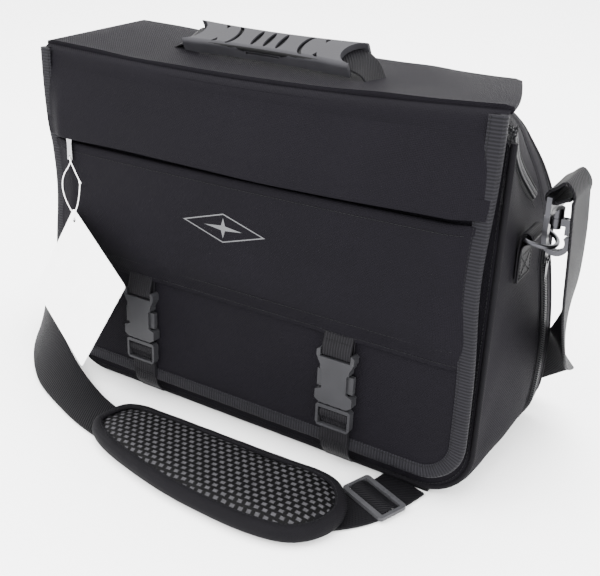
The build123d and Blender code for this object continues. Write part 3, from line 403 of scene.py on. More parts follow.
def ease(value: np.ndarray) -> np.ndarray:
    """Smooth step from 0 to 1."""
    value = np.clip(value, 0.0, 1.0)
    return value * value * (3.0 - 2.0 * value)


def through(points: Sequence[Sequence[float]], step: float = 5.0, each: int = 0) -> np.ndarray:
    """Smooth line through places.

    Args:
        points: Places, each with any number of values.
        step: Longest distance between samples, in millimetres.
        each: Samples between one place and the next, or 0 to go by the step.

    Returns:
        Samples along a line that passes through every place.
    """
    given = np.array(points, float)
    ends = np.vstack([2 * given[0] - given[1], given, 2 * given[-1] - given[-2]])
    out = []
    for i in range(len(given) - 1):
        a, b, c, d = ends[i:i + 4]
        count = each or max(2, int(math.ceil(np.linalg.norm((c - b)[:3]) / step)))
        t = np.linspace(0, 1, count, endpoint=False)[:, None]
        out.append(0.5 * (2 * b + (c - a) * t + (2 * a - 5 * b + 4 * c - d) * t ** 2
                          + (3 * b - a - 3 * c + d) * t ** 3))
    out.append(given[-1:])
    return np.vstack(out)


class Cloth:
    """Patches of cloth gathered into one mesh, in millimetres."""

    def __init__(self) -> None:
        """Starts with nothing."""
        self.points: list[np.ndarray] = []
        self.faces: list[tuple[int, ...]] = []
        self.uvs: list[tuple[float, float]] = []
        self.slots: list[int] = []
        self.count = 0

    def add(self, points: np.ndarray, faces: list[tuple[int, ...]], uvs: np.ndarray, slot: int) -> None:
        """Adds loose geometry.

        Args:
            points: Places in millimetres.
            faces: Corners of each face, counted from this batch's first place.
            uvs: Place on the cloth of each point, in metres.
            slot: Index of the finish.
        """
        self.points.append(points)
        for face in faces:
            self.faces.append(tuple(i + self.count for i in face))
            self.uvs.extend((float(uvs[i][0]), float(uvs[i][1])) for i in face)
            self.slots.append(slot)
        self.count += len(points)

    def patch(self, grid: np.ndarray, uv: Optional[np.ndarray] = None, slot: int = 0, flip: bool = False) -> None:
        """Adds a rectangular patch.

        Args:
            grid: Places, rows by columns by three.
            uv: Place on the cloth in metres, or None to measure it along the patch.
            slot: Index of the finish.
            flip: True turns the patch over.
        """
        rows, columns = grid.shape[:2]
        if uv is None:
            down = np.linalg.norm(np.diff(grid, axis=0), axis=2).mean(1)
            side = np.linalg.norm(np.diff(grid, axis=1), axis=2).mean(0)
            u = np.concatenate([[0], np.cumsum(down)]) * MM
            v = np.concatenate([[0], np.cumsum(side)]) * MM
            uv = np.stack(np.meshgrid(u, v, indexing="ij"), -1)
        faces = []
        for i in range(rows - 1):
            for j in range(columns - 1):
                a = i * columns + j
                face = (a, a + columns, a + columns + 1, a + 1)
                faces.append(face[::-1] if flip else face)
        self.add(grid.reshape(-1, 3), faces, uv.reshape(-1, 2), slot)

    def slab(self, grid: np.ndarray, thick: float, uv: Optional[np.ndarray] = None, slot: int = 0) -> None:
        """Adds a sheet with a thickness behind the given face.

        Args:
            grid: Places of the front face.
            thick: Thickness in millimetres.
            uv: Place on the cloth in metres, or None.
            slot: Index of the finish.
        """
        normal = unit(np.cross(np.gradient(grid, axis=0), np.gradient(grid, axis=1)))
        back = grid - normal * thick
        self.patch(grid, uv, slot)
        self.patch(back, uv, slot, flip=True)
        for a, b, turn in ((grid[0], back[0], True), (grid[-1], back[-1], False),
                           (grid[:, 0], back[:, 0], False), (grid[:, -1], back[:, -1], True)):
            middle = (a + b) / 2
            out = unit(middle - (grid[grid.shape[0] // 2, grid.shape[1] // 2]))
            self.patch(np.stack([a, middle + out * thick * 0.18, b], 1), None, slot, flip=not turn)

    def sweep(self, path: np.ndarray, side: np.ndarray, rise: np.ndarray, profile: Sequence[Sequence[float]],
              slot: int = 0, closed: bool = False) -> None:
        """Pulls a closed cross-section along a line.

        Args:
            path: Places along the line.
            side: Direction of the section's first value at each place.
            rise: Direction of the section's second value at each place.
            profile: Outline of the section, or one outline for each place.
            slot: Index of the finish.
            closed: True where the line meets its own start.
        """
        shape = np.array(profile, float)
        if shape.ndim == 2:
            shape = np.repeat(shape[None], len(path), 0)
        shape = np.concatenate([shape, shape[:, :1]], 1)
        grid = path[:, None] + side[:, None] * shape[..., :1] + rise[:, None] * shape[..., 1:2]
        if closed:
            grid = np.concatenate([grid, grid[:1]], 0)
        self.patch(grid, None, slot)
        if not closed:
            for ring in (grid[0], grid[-1]):
                middle = ring[:-1].mean(0)
                self.patch(np.stack([ring, ring * 0 + middle], 1), None, slot)

    def ribbon(self, path: np.ndarray, side: np.ndarray, width: float, thick: float, slot: int = 0,
               closed: bool = False) -> None:
        """Pulls flat webbing with soft edges along a line.

        Args:
            path: Middle of the webbing.
            side: Direction of its width at each place.
            width: Width in millimetres.
            thick: Thickness in millimetres.
            slot: Index of the finish.
            closed: True where the line meets its own start.
        """
        run = unit(np.gradient(path, axis=0))
        side = unit(side - run * (side * run).sum(1, keepdims=True))
        rise = np.cross(run, side)
        half, high = width / 2, thick / 2
        top = [(-half, 0.0), (-half + 0.5, high), (-half + 1.6, high * 1.12), (-half * 0.5, high), (0, high),
               (half * 0.5, high), (half - 1.6, high * 1.12), (half - 0.5, high)]
        profile = top + [(-a, -b) for a, b in top]
        self.sweep(path, side, rise, profile, slot, closed)

    def tube(self, path: np.ndarray, radius: float, slot: int = 0, closed: bool = False, sides: int = 10) -> None:
        """Pulls a round section along a line.

        Args:
            path: Places along the line.
            radius: Radius in millimetres.
            slot: Index of the finish.
            closed: True where the line meets its own start.
            sides: Sides of the section.
        """
        if closed:
            run = unit(np.roll(path, -1, 0) - np.roll(path, 1, 0))
        else:
            run = unit(np.gradient(path, axis=0))
        side = np.zeros_like(run)
        first = np.array((0.0, 0.0, 1.0)) if abs(run[0][2]) < 0.8 else np.array((0.0, 1.0, 0.0))
        for i, along in enumerate(run):
            first = first - along * first.dot(along)
            side[i] = first = first / np.linalg.norm(first)
        turn = np.linspace(0, 2 * math.pi, sides, endpoint=False)
        self.sweep(path, side, np.cross(run, side), np.stack([np.cos(turn), np.sin(turn)], 1) * radius, slot, closed)

    def blocks(self, places: np.ndarray, run: np.ndarray, up: np.ndarray, size: Sequence[float],
               slot: int = 0) -> None:
        """Adds small raised blocks with narrower tops, such as stitches and zip teeth.

        Args:
            places: Middle of each foot.
            run: Direction of each block's length.
            up: Direction away from the cloth.
            size: Length, width and height in millimetres.
            slot: Index of the finish.
        """
        run = unit(np.broadcast_to(run, places.shape))
        up = unit(np.broadcast_to(up, places.shape))
        across = unit(np.cross(up, run))
        long, wide, high = size
        corners = []
        for share, level in ((1.0, -0.25), (1.0, 0.45), (0.62, 1.0)):
            for a, b in ((-1, -1), (1, -1), (1, 1), (-1, 1)):
                corners.append(places + run * (a * share * long / 2) + across * (b * share * wide / 2)
                               + up * (level * high))
        points = np.stack(corners, 1).reshape(-1, 3)
        faces = []
        for k in range(len(places)):
            o = k * 12
            for ring in (0, 4):
                for j in range(4):
                    n = (j + 1) % 4
                    faces.append((o + ring + j, o + ring + n, o + ring + 4 + n, o + ring + 4 + j))
            faces.append((o + 8, o + 9, o + 10, o + 11))
        self.add(points, faces, points[:, :2] * MM, slot)

    def stitches(self, path: np.ndarray, up: np.ndarray, slot: int = 1, pitch: float = 3.3,
                 thick: float = 0.55) -> None:
        """Adds a row of stitches.

        Args:
            path: Places along the seam.
            up: Direction away from the cloth, one or one for each place.
            slot: Index of the thread's finish.
            pitch: Distance between stitches in millimetres.
            thick: Thickness of the thread in millimetres.
        """
        length = np.concatenate([[0], np.cumsum(np.linalg.norm(np.diff(path, axis=0), axis=1))])
        at = np.arange(pitch / 2, length[-1], pitch)
        ups = np.broadcast_to(up, path.shape)
        places = np.stack([np.interp(at, length, path[:, i]) for i in range(3)], 1)
        lifted = np.stack([np.interp(at, length, ups[:, i]) for i in range(3)], 1)
        ahead = np.stack([np.interp(at + 0.5, length, path[:, i]) for i in range(3)], 1)
        behind = np.stack([np.interp(at - 0.5, length, path[:, i]) for i in range(3)], 1)
        self.blocks(places, ahead - behind, lifted, (pitch * 0.72, thick, 0.35), slot)

    def finish(self, name: str, finishes: Sequence[bpy.types.Material], slot: str, body: Optional[str] = None,
               stands_for: Sequence[str] = (), sharp: float = 48.0) -> bpy.types.Object:
        """Turns the patches into one object.

        Args:
            name: Name of the piece.
            finishes: Materials by index.
            slot: Not used.
            body: Body that it rides on, or None to leave it unparented, as for pieces lying between two.
            stands_for: CAD nodes that it replaces.
            sharp: Angle in degrees over which an edge stays crisp.

        Returns:
            The finished object.
        """
        mesh = bpy.data.meshes.new(name)
        mesh.from_pydata((np.vstack(self.points) * MM).tolist(), [], self.faces)
        layer = mesh.uv_layers.new(name="cloth")
        layer.data.foreach_set("uv", np.array(self.uvs, np.float32).ravel())
        mesh.polygons.foreach_set("material_index", np.array(self.slots, np.int32))
        for finish in finishes:
            mesh.materials.append(finish)
        work = bmesh.new()
        work.from_mesh(mesh)
        bmesh.ops.remove_doubles(work, verts=work.verts, dist=1e-5)
        bmesh.ops.recalc_face_normals(work, faces=work.faces)
        work.to_mesh(mesh)
        work.free()
        mesh.shade_smooth()
        mesh.set_sharp_from_angle(angle=math.radians(sharp))
        piece = bpy.data.objects.new(name, mesh)
        bpy.context.scene.collection.objects.link(piece)
        if body:
            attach(piece, body)
        if stands_for:
            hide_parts(*stands_for)
        LOG.info("%s: %d faces", name, len(mesh.polygons))
        return piece


# ------------------------------------------------------------------ shared shape of the bag
@dataclass(frozen=True)
class Form:
    """Sizes that the soft pieces share, in millimetres."""

    half: float = 203.0
    top: float = 286.0
    front_top_y: float = -52.0
    back_top_y: float = 58.0
    front_slope: float = 18.0 / 246.0
    back_slope: float = 15.0 / 246.0
    low_corner: float = 38.0
    flap_half: float = 200.0
    flap_drop: float = 272.0
    flap_corner: float = 35.0
    fold_y: float = -62.0
    fold_z: float = 296.0
    lean: float = math.atan(20 / 262)
    top_sag: float = 6.5
    low_swell: float = 7.0
    strap_x: float = 151.0

    def front_y(self, z: np.ndarray) -> np.ndarray:
        """Outside of the front panel at a height."""
        return self.front_top_y - self.front_slope * (self.top - z)

    def back_y(self, z: np.ndarray) -> np.ndarray:
        """Outside of the back panel at a height."""
        return self.back_top_y + self.back_slope * (self.top - z)

    def sag(self, x: np.ndarray, y: np.ndarray = 0.0) -> np.ndarray:
        """How far the top hangs below its corners, most at the front where the handle pulls."""
        share = np.clip(1.0 - (np.abs(x) / self.flap_half) ** 2, 0.0, 1.0)
        return self.top_sag * share ** 1.15 * (1.0 - 0.75 * ease((np.asarray(y) + 62.0) / 120.0))

    def settle(self, points: np.ndarray) -> np.ndarray:
        """Slumps places on the shell as the soft bag does: its rear right corner sinks in, its low sides swell.

        Args:
            points: Places in millimetres, three values last.

        Returns:
            The slumped places.
        """
        out = np.array(points, float)
        x, y, z = (np.array(out[..., i]) for i in range(3))
        back = np.clip((y + 58.0) / 115.0, 0.0, 1.2)
        out[..., 0] -= 35.0 * back ** 1.2 * ease((z - 188.0) / 104.0) * ease((x - 55.0) / 140.0)
        out[..., 2] -= 10.5 * back * np.clip((x + 200.0) / 380.0, 0.0, 1.0) * ease((z - 225.0) / 60.0)
        swell = self.low_swell * np.sin(math.pi * np.clip(z / 158.0, 0, 1)) * ease((y + 62.0) / 90.0)
        out[..., 0] += np.sign(x) * swell * ease((np.abs(x) - 150.0) / 50.0)
        return out

    def flap(self, x: np.ndarray, down: np.ndarray, rise: np.ndarray) -> np.ndarray:
        """Places on the flap's front.

        Args:
            x: Across the flap.
            down: Distance below the fold.
            rise: Distance in front of the flap's inner face.

        Returns:
            Places in millimetres.
        """
        x, down, rise = np.broadcast_arrays(x, down, rise)
        pinch = np.where(x > 0, 4.5, 7.5) * np.exp(-((down - 112.0) / 52.0) ** 2)
        x = x - np.sign(x) * pinch * ease((np.abs(x) - 95.0) / 100.0)
        y = self.fold_y - math.cos(self.lean) * rise - math.sin(self.lean) * down
        z = self.fold_z + math.sin(self.lean) * rise - math.cos(self.lean) * down
        return np.stack([x, y, z - self.sag(x) * np.clip(1.0 - down / 150.0, 0.0, 1.0)], -1)

    def flap_out(self) -> np.ndarray:
        """Direction out of the flap's front."""
        return np.array((0.0, -math.cos(self.lean), math.sin(self.lean)))

    def flap_width(self, down: np.ndarray, inset: float) -> np.ndarray:
        """Half the flap's width at a distance down it, inside its round lower corners."""
        radius = self.flap_corner - inset
        into = np.clip(np.asarray(down, float) - (self.flap_drop - self.flap_corner), 0.0, radius)
        return self.flap_half - inset - radius + np.sqrt(np.maximum(radius ** 2 - into ** 2, 0.0))


FORM = Form()


# ------------------------------------------------------------------ studio
@dataclass
class Studio:
    """Pale floor, soft lights and the camera."""

    lens: float = 53.16
    floor_size: float = 6.0

    def build(self) -> None:
        """Makes the camera, the lights, the sky and the floor."""
        scene = bpy.context.scene
        camera = bpy.data.objects.new("camera", bpy.data.cameras.new("camera"))
        camera.location = (0.3755, -0.5786, 0.4401)
        camera.rotation_euler = (math.radians(63.8), 0.0, math.radians(32.3))
        camera.data.lens = self.lens
        camera.data.sensor_width = 36.0
        camera.data.clip_start = 0.01
        scene.collection.objects.link(camera)
        scene.camera = camera
        self.light("key", (-0.9, -1.5, 1.9), 1.6, 60.0)
        self.light("fill", (1.7, -0.8, 1.2), 1.4, 36.0)
        self.light("overhead", (0.1, 0.5, 2.1), 1.8, 70.0)
        world = bpy.data.worlds.new("sky")
        world.use_nodes = True
        world.node_tree.nodes["Background"].inputs["Color"].default_value = (1.0, 1.0, 1.0, 1.0)
        world.node_tree.nodes["Background"].inputs["Strength"].default_value = 5.0
        scene.world = world
        self.floor()

    def light(self, name: str, place: Sequence[float], size: float, power: float) -> None:
        """Adds one large soft light aimed at the bag."""
        data = bpy.data.lights.new(name, "AREA")
        data.size, data.energy = size, power
        lamp = bpy.data.objects.new(name, data)
        lamp.location = place
        lamp.rotation_euler = (Vector((0.0, 0.0, 0.14)) - Vector(place)).to_track_quat("-Z", "Y").to_euler()
        bpy.context.scene.collection.objects.link(lamp)

    def floor(self) -> None:
        """Adds the pale floor."""
        shader = Shader("studio_floor", 0.8, specular=0.2)
        patchy = shader.noise(shader.where(Place.SOLID), 3.0, 2.0)
        shader.colour(shader.blend(patchy, (0.93, 0.93, 0.935), (0.97, 0.97, 0.97)))
        half = self.floor_size / 2
        mesh = bpy.data.meshes.new("studio_floor")
        mesh.from_pydata([(-half, -half, 0), (half, -half, 0), (half, half, 0), (-half, half, 0)], [], [(0, 1, 2, 3)])
        mesh.materials.append(shader.material)
        floor = bpy.data.objects.new("studio_floor", mesh)
        floor.location.z = -0.0004
        bpy.context.scene.collection.objects.link(floor)


# ------------------------------------------------------------------ tag string
@dataclass
class TagString:
    """Thin string loop from the flap pocket's puller to the card tag."""

    diameter: float = 0.0009
    length: float = 0.232
    puller: tuple[float, float] = (-165.0, 84.4)

    def build(self, palette: Palette) -> None:
        """Makes the string as one smooth curve with its knot."""
        t, a, b = (np.array(v) for v in (
            (-160.4, -88.0, 170.4), (0.849, -0.314, -0.425), (-0.4815, -0.1466, -0.8645)))
        a, b = a / np.linalg.norm(a), b / np.linalg.norm(b)
        out = -np.cross(a, b)
        out /= np.linalg.norm(out)
        hole = t + 7.0 * a + 7.0 * b + out * 0.3
        lean = FORM.lean

        def on(x: float, down: float, rise: float) -> np.ndarray:
            """Place in front of the flap."""
            return np.array((x, FORM.fold_y - math.cos(lean) * rise - math.sin(lean) * down,
                             FORM.fold_z + math.sin(lean) * rise - math.cos(lean) * down))

        route = [on(-152.2, 103, 15.9), on(-162.6, 89.5, 14.4), on(-165, 84.4, 14.3), on(-165, 84.4, 11.6),
                 on(-166.2, 90.5, 11.6), on(-175.8, 104, 13.6), on(-173, 120, 15.4), hole - out * 2.4,
                 hole + out * 2.4, on(-150.8, 119, 19.0), on(-152.1, 103.6, 16.0)]
        curve = bpy.data.curves.new("tag_loop", "CURVE")
        curve.dimensions = "3D"
        curve.bevel_depth = self.diameter / 2
        curve.bevel_resolution = 3
        curve.resolution_u = 10
        line = curve.splines.new("NURBS")
        line.points.add(len(route) - 1)
        for point, place in zip(line.points, route):
            point.co = (*(place * MM), 1.0)
        line.order_u = 3
        line.use_endpoint_u = True
        curve.materials.append(palette.string)
        string = bpy.data.objects.new("tag_loop", curve)
        bpy.context.scene.collection.objects.link(string)
        knot = Cloth()
        turn = np.linspace(0, 2 * math.pi, 26)
        middle = (route[0] + route[-1]) / 2
        ring = np.stack([np.cos(turn * 2) * 0.7, np.sin(turn * 2) * 0.5, (turn / math.pi - 1) * 0.8], 1)
        knot.tube(middle + ring, 0.5, sides=8)
        tied = knot.finish("tag_knot", [palette.string], "string", "tag")
        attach(string, "tag")
        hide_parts("tag_string")
        measured(string)


def measured(curve: bpy.types.Object) -> float:
    """Length in metres of a curve's own line."""
    depth = curve.data.bevel_depth
    curve.data.bevel_depth = 0.0
    mesh = bpy.data.meshes.new_from_object(curve)
    curve.data.bevel_depth = depth
    places = [v.co for v in mesh.vertices]
    return round(sum((b - a).length for a, b in zip(places, places[1:])), 4)


# ------------------------------------------------------------------ zips
@dataclass
class Zip:
    """Coil zip: woven tape with two rows of interlocking coils."""

    name: str
    node: str
    body: str
    path: np.ndarray
    out: np.ndarray
    tape: float = 14.0
    pitch: float = 2.0
    lift: float = 0.0

    def build(self, palette: Palette) -> bpy.types.Object:
        """Makes the tape, the coils and the stitches along both edges."""
        run = unit(np.gradient(self.path, axis=0))
        out = unit(np.broadcast_to(self.out, self.path.shape))
        side = np.cross(run, out)
        piece = Cloth()
        piece.ribbon(self.path + out * self.lift, side, self.tape, 0.7, 0)
        length = np.concatenate([[0], np.cumsum(np.linalg.norm(np.diff(self.path, axis=0), axis=1))])
        for row, sign in ((0.0, -1), (self.pitch / 2, 1)):
            at = np.arange(row + 1.0, length[-1] - 1.0, self.pitch)
            spread = [np.stack([np.interp(at, length, a[:, i]) for i in range(3)], 1) for a in (self.path, side, out, run)]
            places = spread[0] + spread[1] * sign * 1.35 + spread[2] * (self.lift + 0.45)
            piece.blocks(places, spread[3] * 0.9 + spread[1] * sign * 0.25, spread[2], (1.25, 3.1, 1.25), 1)
        for sign in (-1, 1):
            piece.stitches(self.path + side * sign * (self.tape / 2 - 1.6) + out * (self.lift + 0.4), out, 2)
        return piece.finish(self.name, [palette.tape, palette.coil, palette.thread], "zip", self.body, [self.node])


# ------------------------------------------------------------------ shell of the bag
@dataclass
class BagShell:
    """Sides, bottom, top, front and back of the bag as one sagging loft."""

    stations: int = 42
    crown: float = 2.4
    channel: float = 3.4
    zip_low: tuple[float, float] = (21.0, 217.0)
    zip_high: tuple[float, float] = (-44.0, 281.0)

    def outline(self, share: float) -> np.ndarray:
        """Round-cornered outline of the bag, share of the way from its front to its back."""
        depth = 128.0
        near, far = math.exp(-share * depth / 5.0), math.exp(-(1 - share) * depth / 4.5)
        half = 202.2 - 1.2 * near - 2.6 * far
        foot = 0.25 + 6.6 * near + 4.0 * far
        top = FORM.top - 1.0 - 3.0 * near - 2.0 * far
        low, high = FORM.low_corner - 6.0 * share, 12.0 + 14.0 * share
        rows = []

        def corner(x: float, z: float, radius: float, start: float) -> None:
            """Adds a quarter turn."""
            angle = np.radians(np.linspace(start, start + 90.0, 9))
            rows.append(np.stack([x + radius * np.cos(angle), z + radius * np.sin(angle)], 1))

        def straight(a: Sequence[float], b: Sequence[float], count: int) -> None:
            """Adds a run between two corners."""
            t = np.linspace(0, 1, count + 2)[1:-1, None]
            rows.append(np.array(a) * (1 - t) + np.array(b) * t)

        straight((-half + low, foot), (half - low, foot), 54)
        corner(half - low, foot + low, low, -90)
        straight((half, foot + low), (half, top - high), 44)
        corner(half - high, top - high, high, 0)
        straight((half - high, top), (-half + high, top), 40)
        corner(-half + high, top - high, high, 90)
        straight((-half, top - high), (-half, foot + low), 44)
        corner(-half + low, foot + low, low, 180)
        ring = np.vstack(rows)
        return np.vstack([ring, ring[:1]])

    def place(self, ring: np.ndarray, share: float) -> np.ndarray:
        """Outline carried to its depth, with the sag, the bulge, the creases and the strap's channel.

        Args:
            ring: Outline as x and z.
            share: Share of the way from the front to the back.

        Returns:
            Places in millimetres.
        """
        x, z = ring[:, 0].copy(), ring[:, 1].copy()
        y = FORM.front_y(z) * (1 - share) + FORM.back_y(z) * share
        z = z - FORM.sag(x, y) * 0.92 * ease((z - 262.0) / 24.0)
        under = np.exp(-((x - FORM.strap_x) / 25.0) ** 6) * (z < 30) * np.exp(-(np.maximum(z - 8, 0) / 4) ** 2)
        z = np.maximum(z, self.channel * under)
        flank = ease((np.abs(x) - 170.0) / 30.0)
        slope = np.array(self.zip_high) - np.array(self.zip_low)
        normal = np.array((slope[1], -slope[0])) / np.linalg.norm(slope)
        apart = (y - self.zip_low[0]) * normal[0] + (z - self.zip_low[1]) * normal[1]
        upper = ease((z - 208.0) / 12.0)
        valley = -2.6 * np.exp(-((apart / 8.0) ** 2)) * upper
        slack = 1.6 * np.sin(z / 19.0 + y / 13.0) * np.sin(y / 21.0 + 0.8) - 1.2
        slack = slack * ease((z - 205.0) / 20.0) * np.exp(-(np.maximum(y - 30, 0) / 9) ** 2)
        crease = 0.35 * np.sin(z / 11.0 + 2.1 * np.sin(y / 16.0)) * (y < 34) - 0.35 * (y < 34)
        seam = -0.9 * np.exp(-((y - 53.5) / 1.4) ** 2) - 0.9 * np.exp(-((y - 35.5) / 1.4) ** 2)
        push = valley + np.minimum(slack, 0.0) + crease + seam
        x = x + np.sign(x) * flank * push
        return FORM.settle(np.stack([x, y, z], 1))

    def face(self, ring: np.ndarray, crown: float, front: bool) -> np.ndarray:
        """Front or back panel, closing the loft with rings that shrink to its middle."""
        middle = np.array((0.0, 143.0))
        grid = []
        for share in np.linspace(1.0, 0.0, 16):
            flat = ring[:, (0, 2)]
            inner = middle + (flat - middle) * share
            y = FORM.front_y(inner[:, 1]) if front else FORM.back_y(inner[:, 1])
            edge = ring[:, 1] - (FORM.front_y(flat[:, 1]) if front else FORM.back_y(flat[:, 1]))
            swell = crown * (1 - share ** 2.4)
            ripple = 0.5 * np.sin(inner[:, 0] / 31.0 + 1.0) * np.sin(inner[:, 1] / 27.0) * (1 - share ** 3)
            grid.append(np.stack([inner[:, 0], y + edge * share ** 6 + (swell + ripple) * (-1 if front else 1),
                                  inner[:, 1]], 1))
        return np.stack(grid)

    def build(self, palette: Palette) -> None:
        """Makes the shell, its bound back seam and the seams' stitches."""
        shell = Cloth()
        shares = np.linspace(0, 1, self.stations)
        rings = np.stack([self.place(self.outline(s), s) for s in shares])
        around = np.concatenate([[0], np.cumsum(np.linalg.norm(np.diff(rings[20], axis=0), axis=1))]) * MM
        uv = np.stack([np.broadcast_to(around, rings.shape[:2]), rings[..., 1] * MM], -1)
        shell.patch(rings, uv)
        for ring, crown, front in ((rings[0], 0.2, True), (rings[-1], self.crown, False)):
            grid = self.face(ring, crown, front)
            shell.patch(grid, np.stack([grid[..., 0], grid[..., 2]], -1) * MM)
        for y_line, push in ((34.0, 0.35), (55.2, 0.35)):
            for sign, kept in ((1, range(56, 110)), (-1, range(166, 219))):
                seam = np.array([[np.interp(y_line, rings[:, k, 1], rings[:, k, i]) for i in range(3)] for k in kept])
                shell.stitches(seam + np.array((sign * push, 0, 0)), np.array((sign, 0.0, 0.0)))
        slope = unit(np.array((0.0, self.zip_high[0] - self.zip_low[0], self.zip_high[1] - self.zip_low[1])))
        across = np.array((0.0, slope[2], -slope[1]))
        for off in (-8.5, 8.5):
            line = np.array([(202.3, *p) for p in np.linspace(self.zip_low, self.zip_high, 12)]) + across * off
            for sign in (1, -1):
                row = FORM.settle(line * (sign, 1, 1) - np.array((sign * 0.4, 0, 0)))
                shell.stitches(row, np.array((sign, 0.0, 0.0)))
        shell.finish("bag_shell", [palette.cloth, palette.thread], "cloth", "bag",
                     ["front_panel", "gusset", "upper_sides", "wedge_gussets", "top_cover", "base_board", "divider",
                      "rear_band", "back_panel"], sharp=75.0)
        self.back_binding(rings, palette)

    def back_binding(self, rings: np.ndarray, palette: Palette) -> None:
        """Bound seam round the back panel."""
        ring = rings[-1][:-1]
        away = ring[:, (0, 2)] - np.array((0.0, 143.0))
        line = ring + np.stack([np.sign(away[:, 0]) * 0.4, ring[:, 0] * 0 - 0.4, np.sign(away[:, 1]) * 0.2], 1)
        line[:, 2] = np.maximum(line[:, 2], 2.4 + 2.4 * np.exp(-((line[:, 0] - FORM.strap_x) / 25.0) ** 6))
        seam = Cloth()
        seam.tube(line, 1.7, closed=True, sides=8)
        seam.finish("back_seam", [palette.piping], "piping", "bag")

    def zips(self, palette: Palette) -> None:
        """Makes the main zip and the side zips at both ends."""
        x = np.linspace(-190, 190, 60)
        y = np.full_like(x, -44.0)
        top = np.stack([x, y, 285.4 - FORM.sag(x, y)], 1)
        side = np.array([(200.9, *p) for p in np.linspace(self.zip_high, self.zip_low, 14)])
        turn = through([(190.0, -44.0, 285.1), (195.6, -44.0, 284.4), (199.4, -43.9, 282.9), (200.9, -43.0, 280.2)], 1.5)
        path = np.vstack([(np.vstack([turn, side[1:]]) * (-1, 1, 1))[::-1], top[1:-1], turn, side[1:]])
        out = np.where(np.abs(path[:, :1]) > 200.0, np.sign(path[:, :1]) * np.array((1.0, 0, 0)),
                       np.where(np.abs(path[:, :1]) > 189.0, np.sign(path[:, :1]) * np.array((0.7, 0, 0))
                                + np.array((0, 0, 0.7)), np.array((0.0, 0, 1.0))))
        Zip("main_zip", "main_zip_chain", "bag", FORM.settle(path), out, tape=13.0).build(palette)
        low = np.linspace(math.radians(-90), 0, 12)
        corner = np.stack([165.0 + 37.6 * np.cos(low), low * 0 + 44.5, 38.6 + 37.6 * np.sin(low)], 1)
        corner[:, 2] = np.maximum(corner[:, 2], 1.0)
        run = np.vstack([[(0.0, 44.5, 1.0)], [(x_, 44.5, 1.0) for x_ in np.linspace(20, 118, 8)],
                         [(x_, 44.5, 3.9) for x_ in np.linspace(128, 160, 4)], corner[3:],
                         [(202.7, 44.5, z) for z in np.linspace(44, 170, 22)]])
        whole = np.vstack([run[::-1] * (1, 1, 1)])
        left = whole * (-1, 1, 1)
        left[:, 2] = np.where((left[:, 0] > -164) & (left[:, 2] > 3), 1.0, left[:, 2])
        path = np.vstack([whole, left[::-1][1:]])
        away = np.stack([path[:, 0], path[:, 1] * 0, path[:, 2] - 42.0], 1)
        flat = np.abs(path[:, 0]) < 164
        out = np.where(flat[:, None], np.array((0.0, 0, -1.0)), np.where(path[:, 2:] > 42.0, np.sign(path[:, :1])
                       * np.array((1.0, 0, 0)), unit(away - np.sign(path[:, :1]) * np.array((165.0, 0, 0)))))
        upper = np.abs(path[:, 0]) > 160
        path = FORM.settle(path)
        Zip("side_zip", "side_zip_chain", "bag", path[upper & (path[:, 0] > 0)], out[upper & (path[:, 0] > 0)],
            tape=13.5).build(palette)
        Zip("side_zip_left", "side_zip_chain", "bag", path[upper & (path[:, 0] < 0)], out[upper & (path[:, 0] < 0)],
            tape=13.5).build(palette)


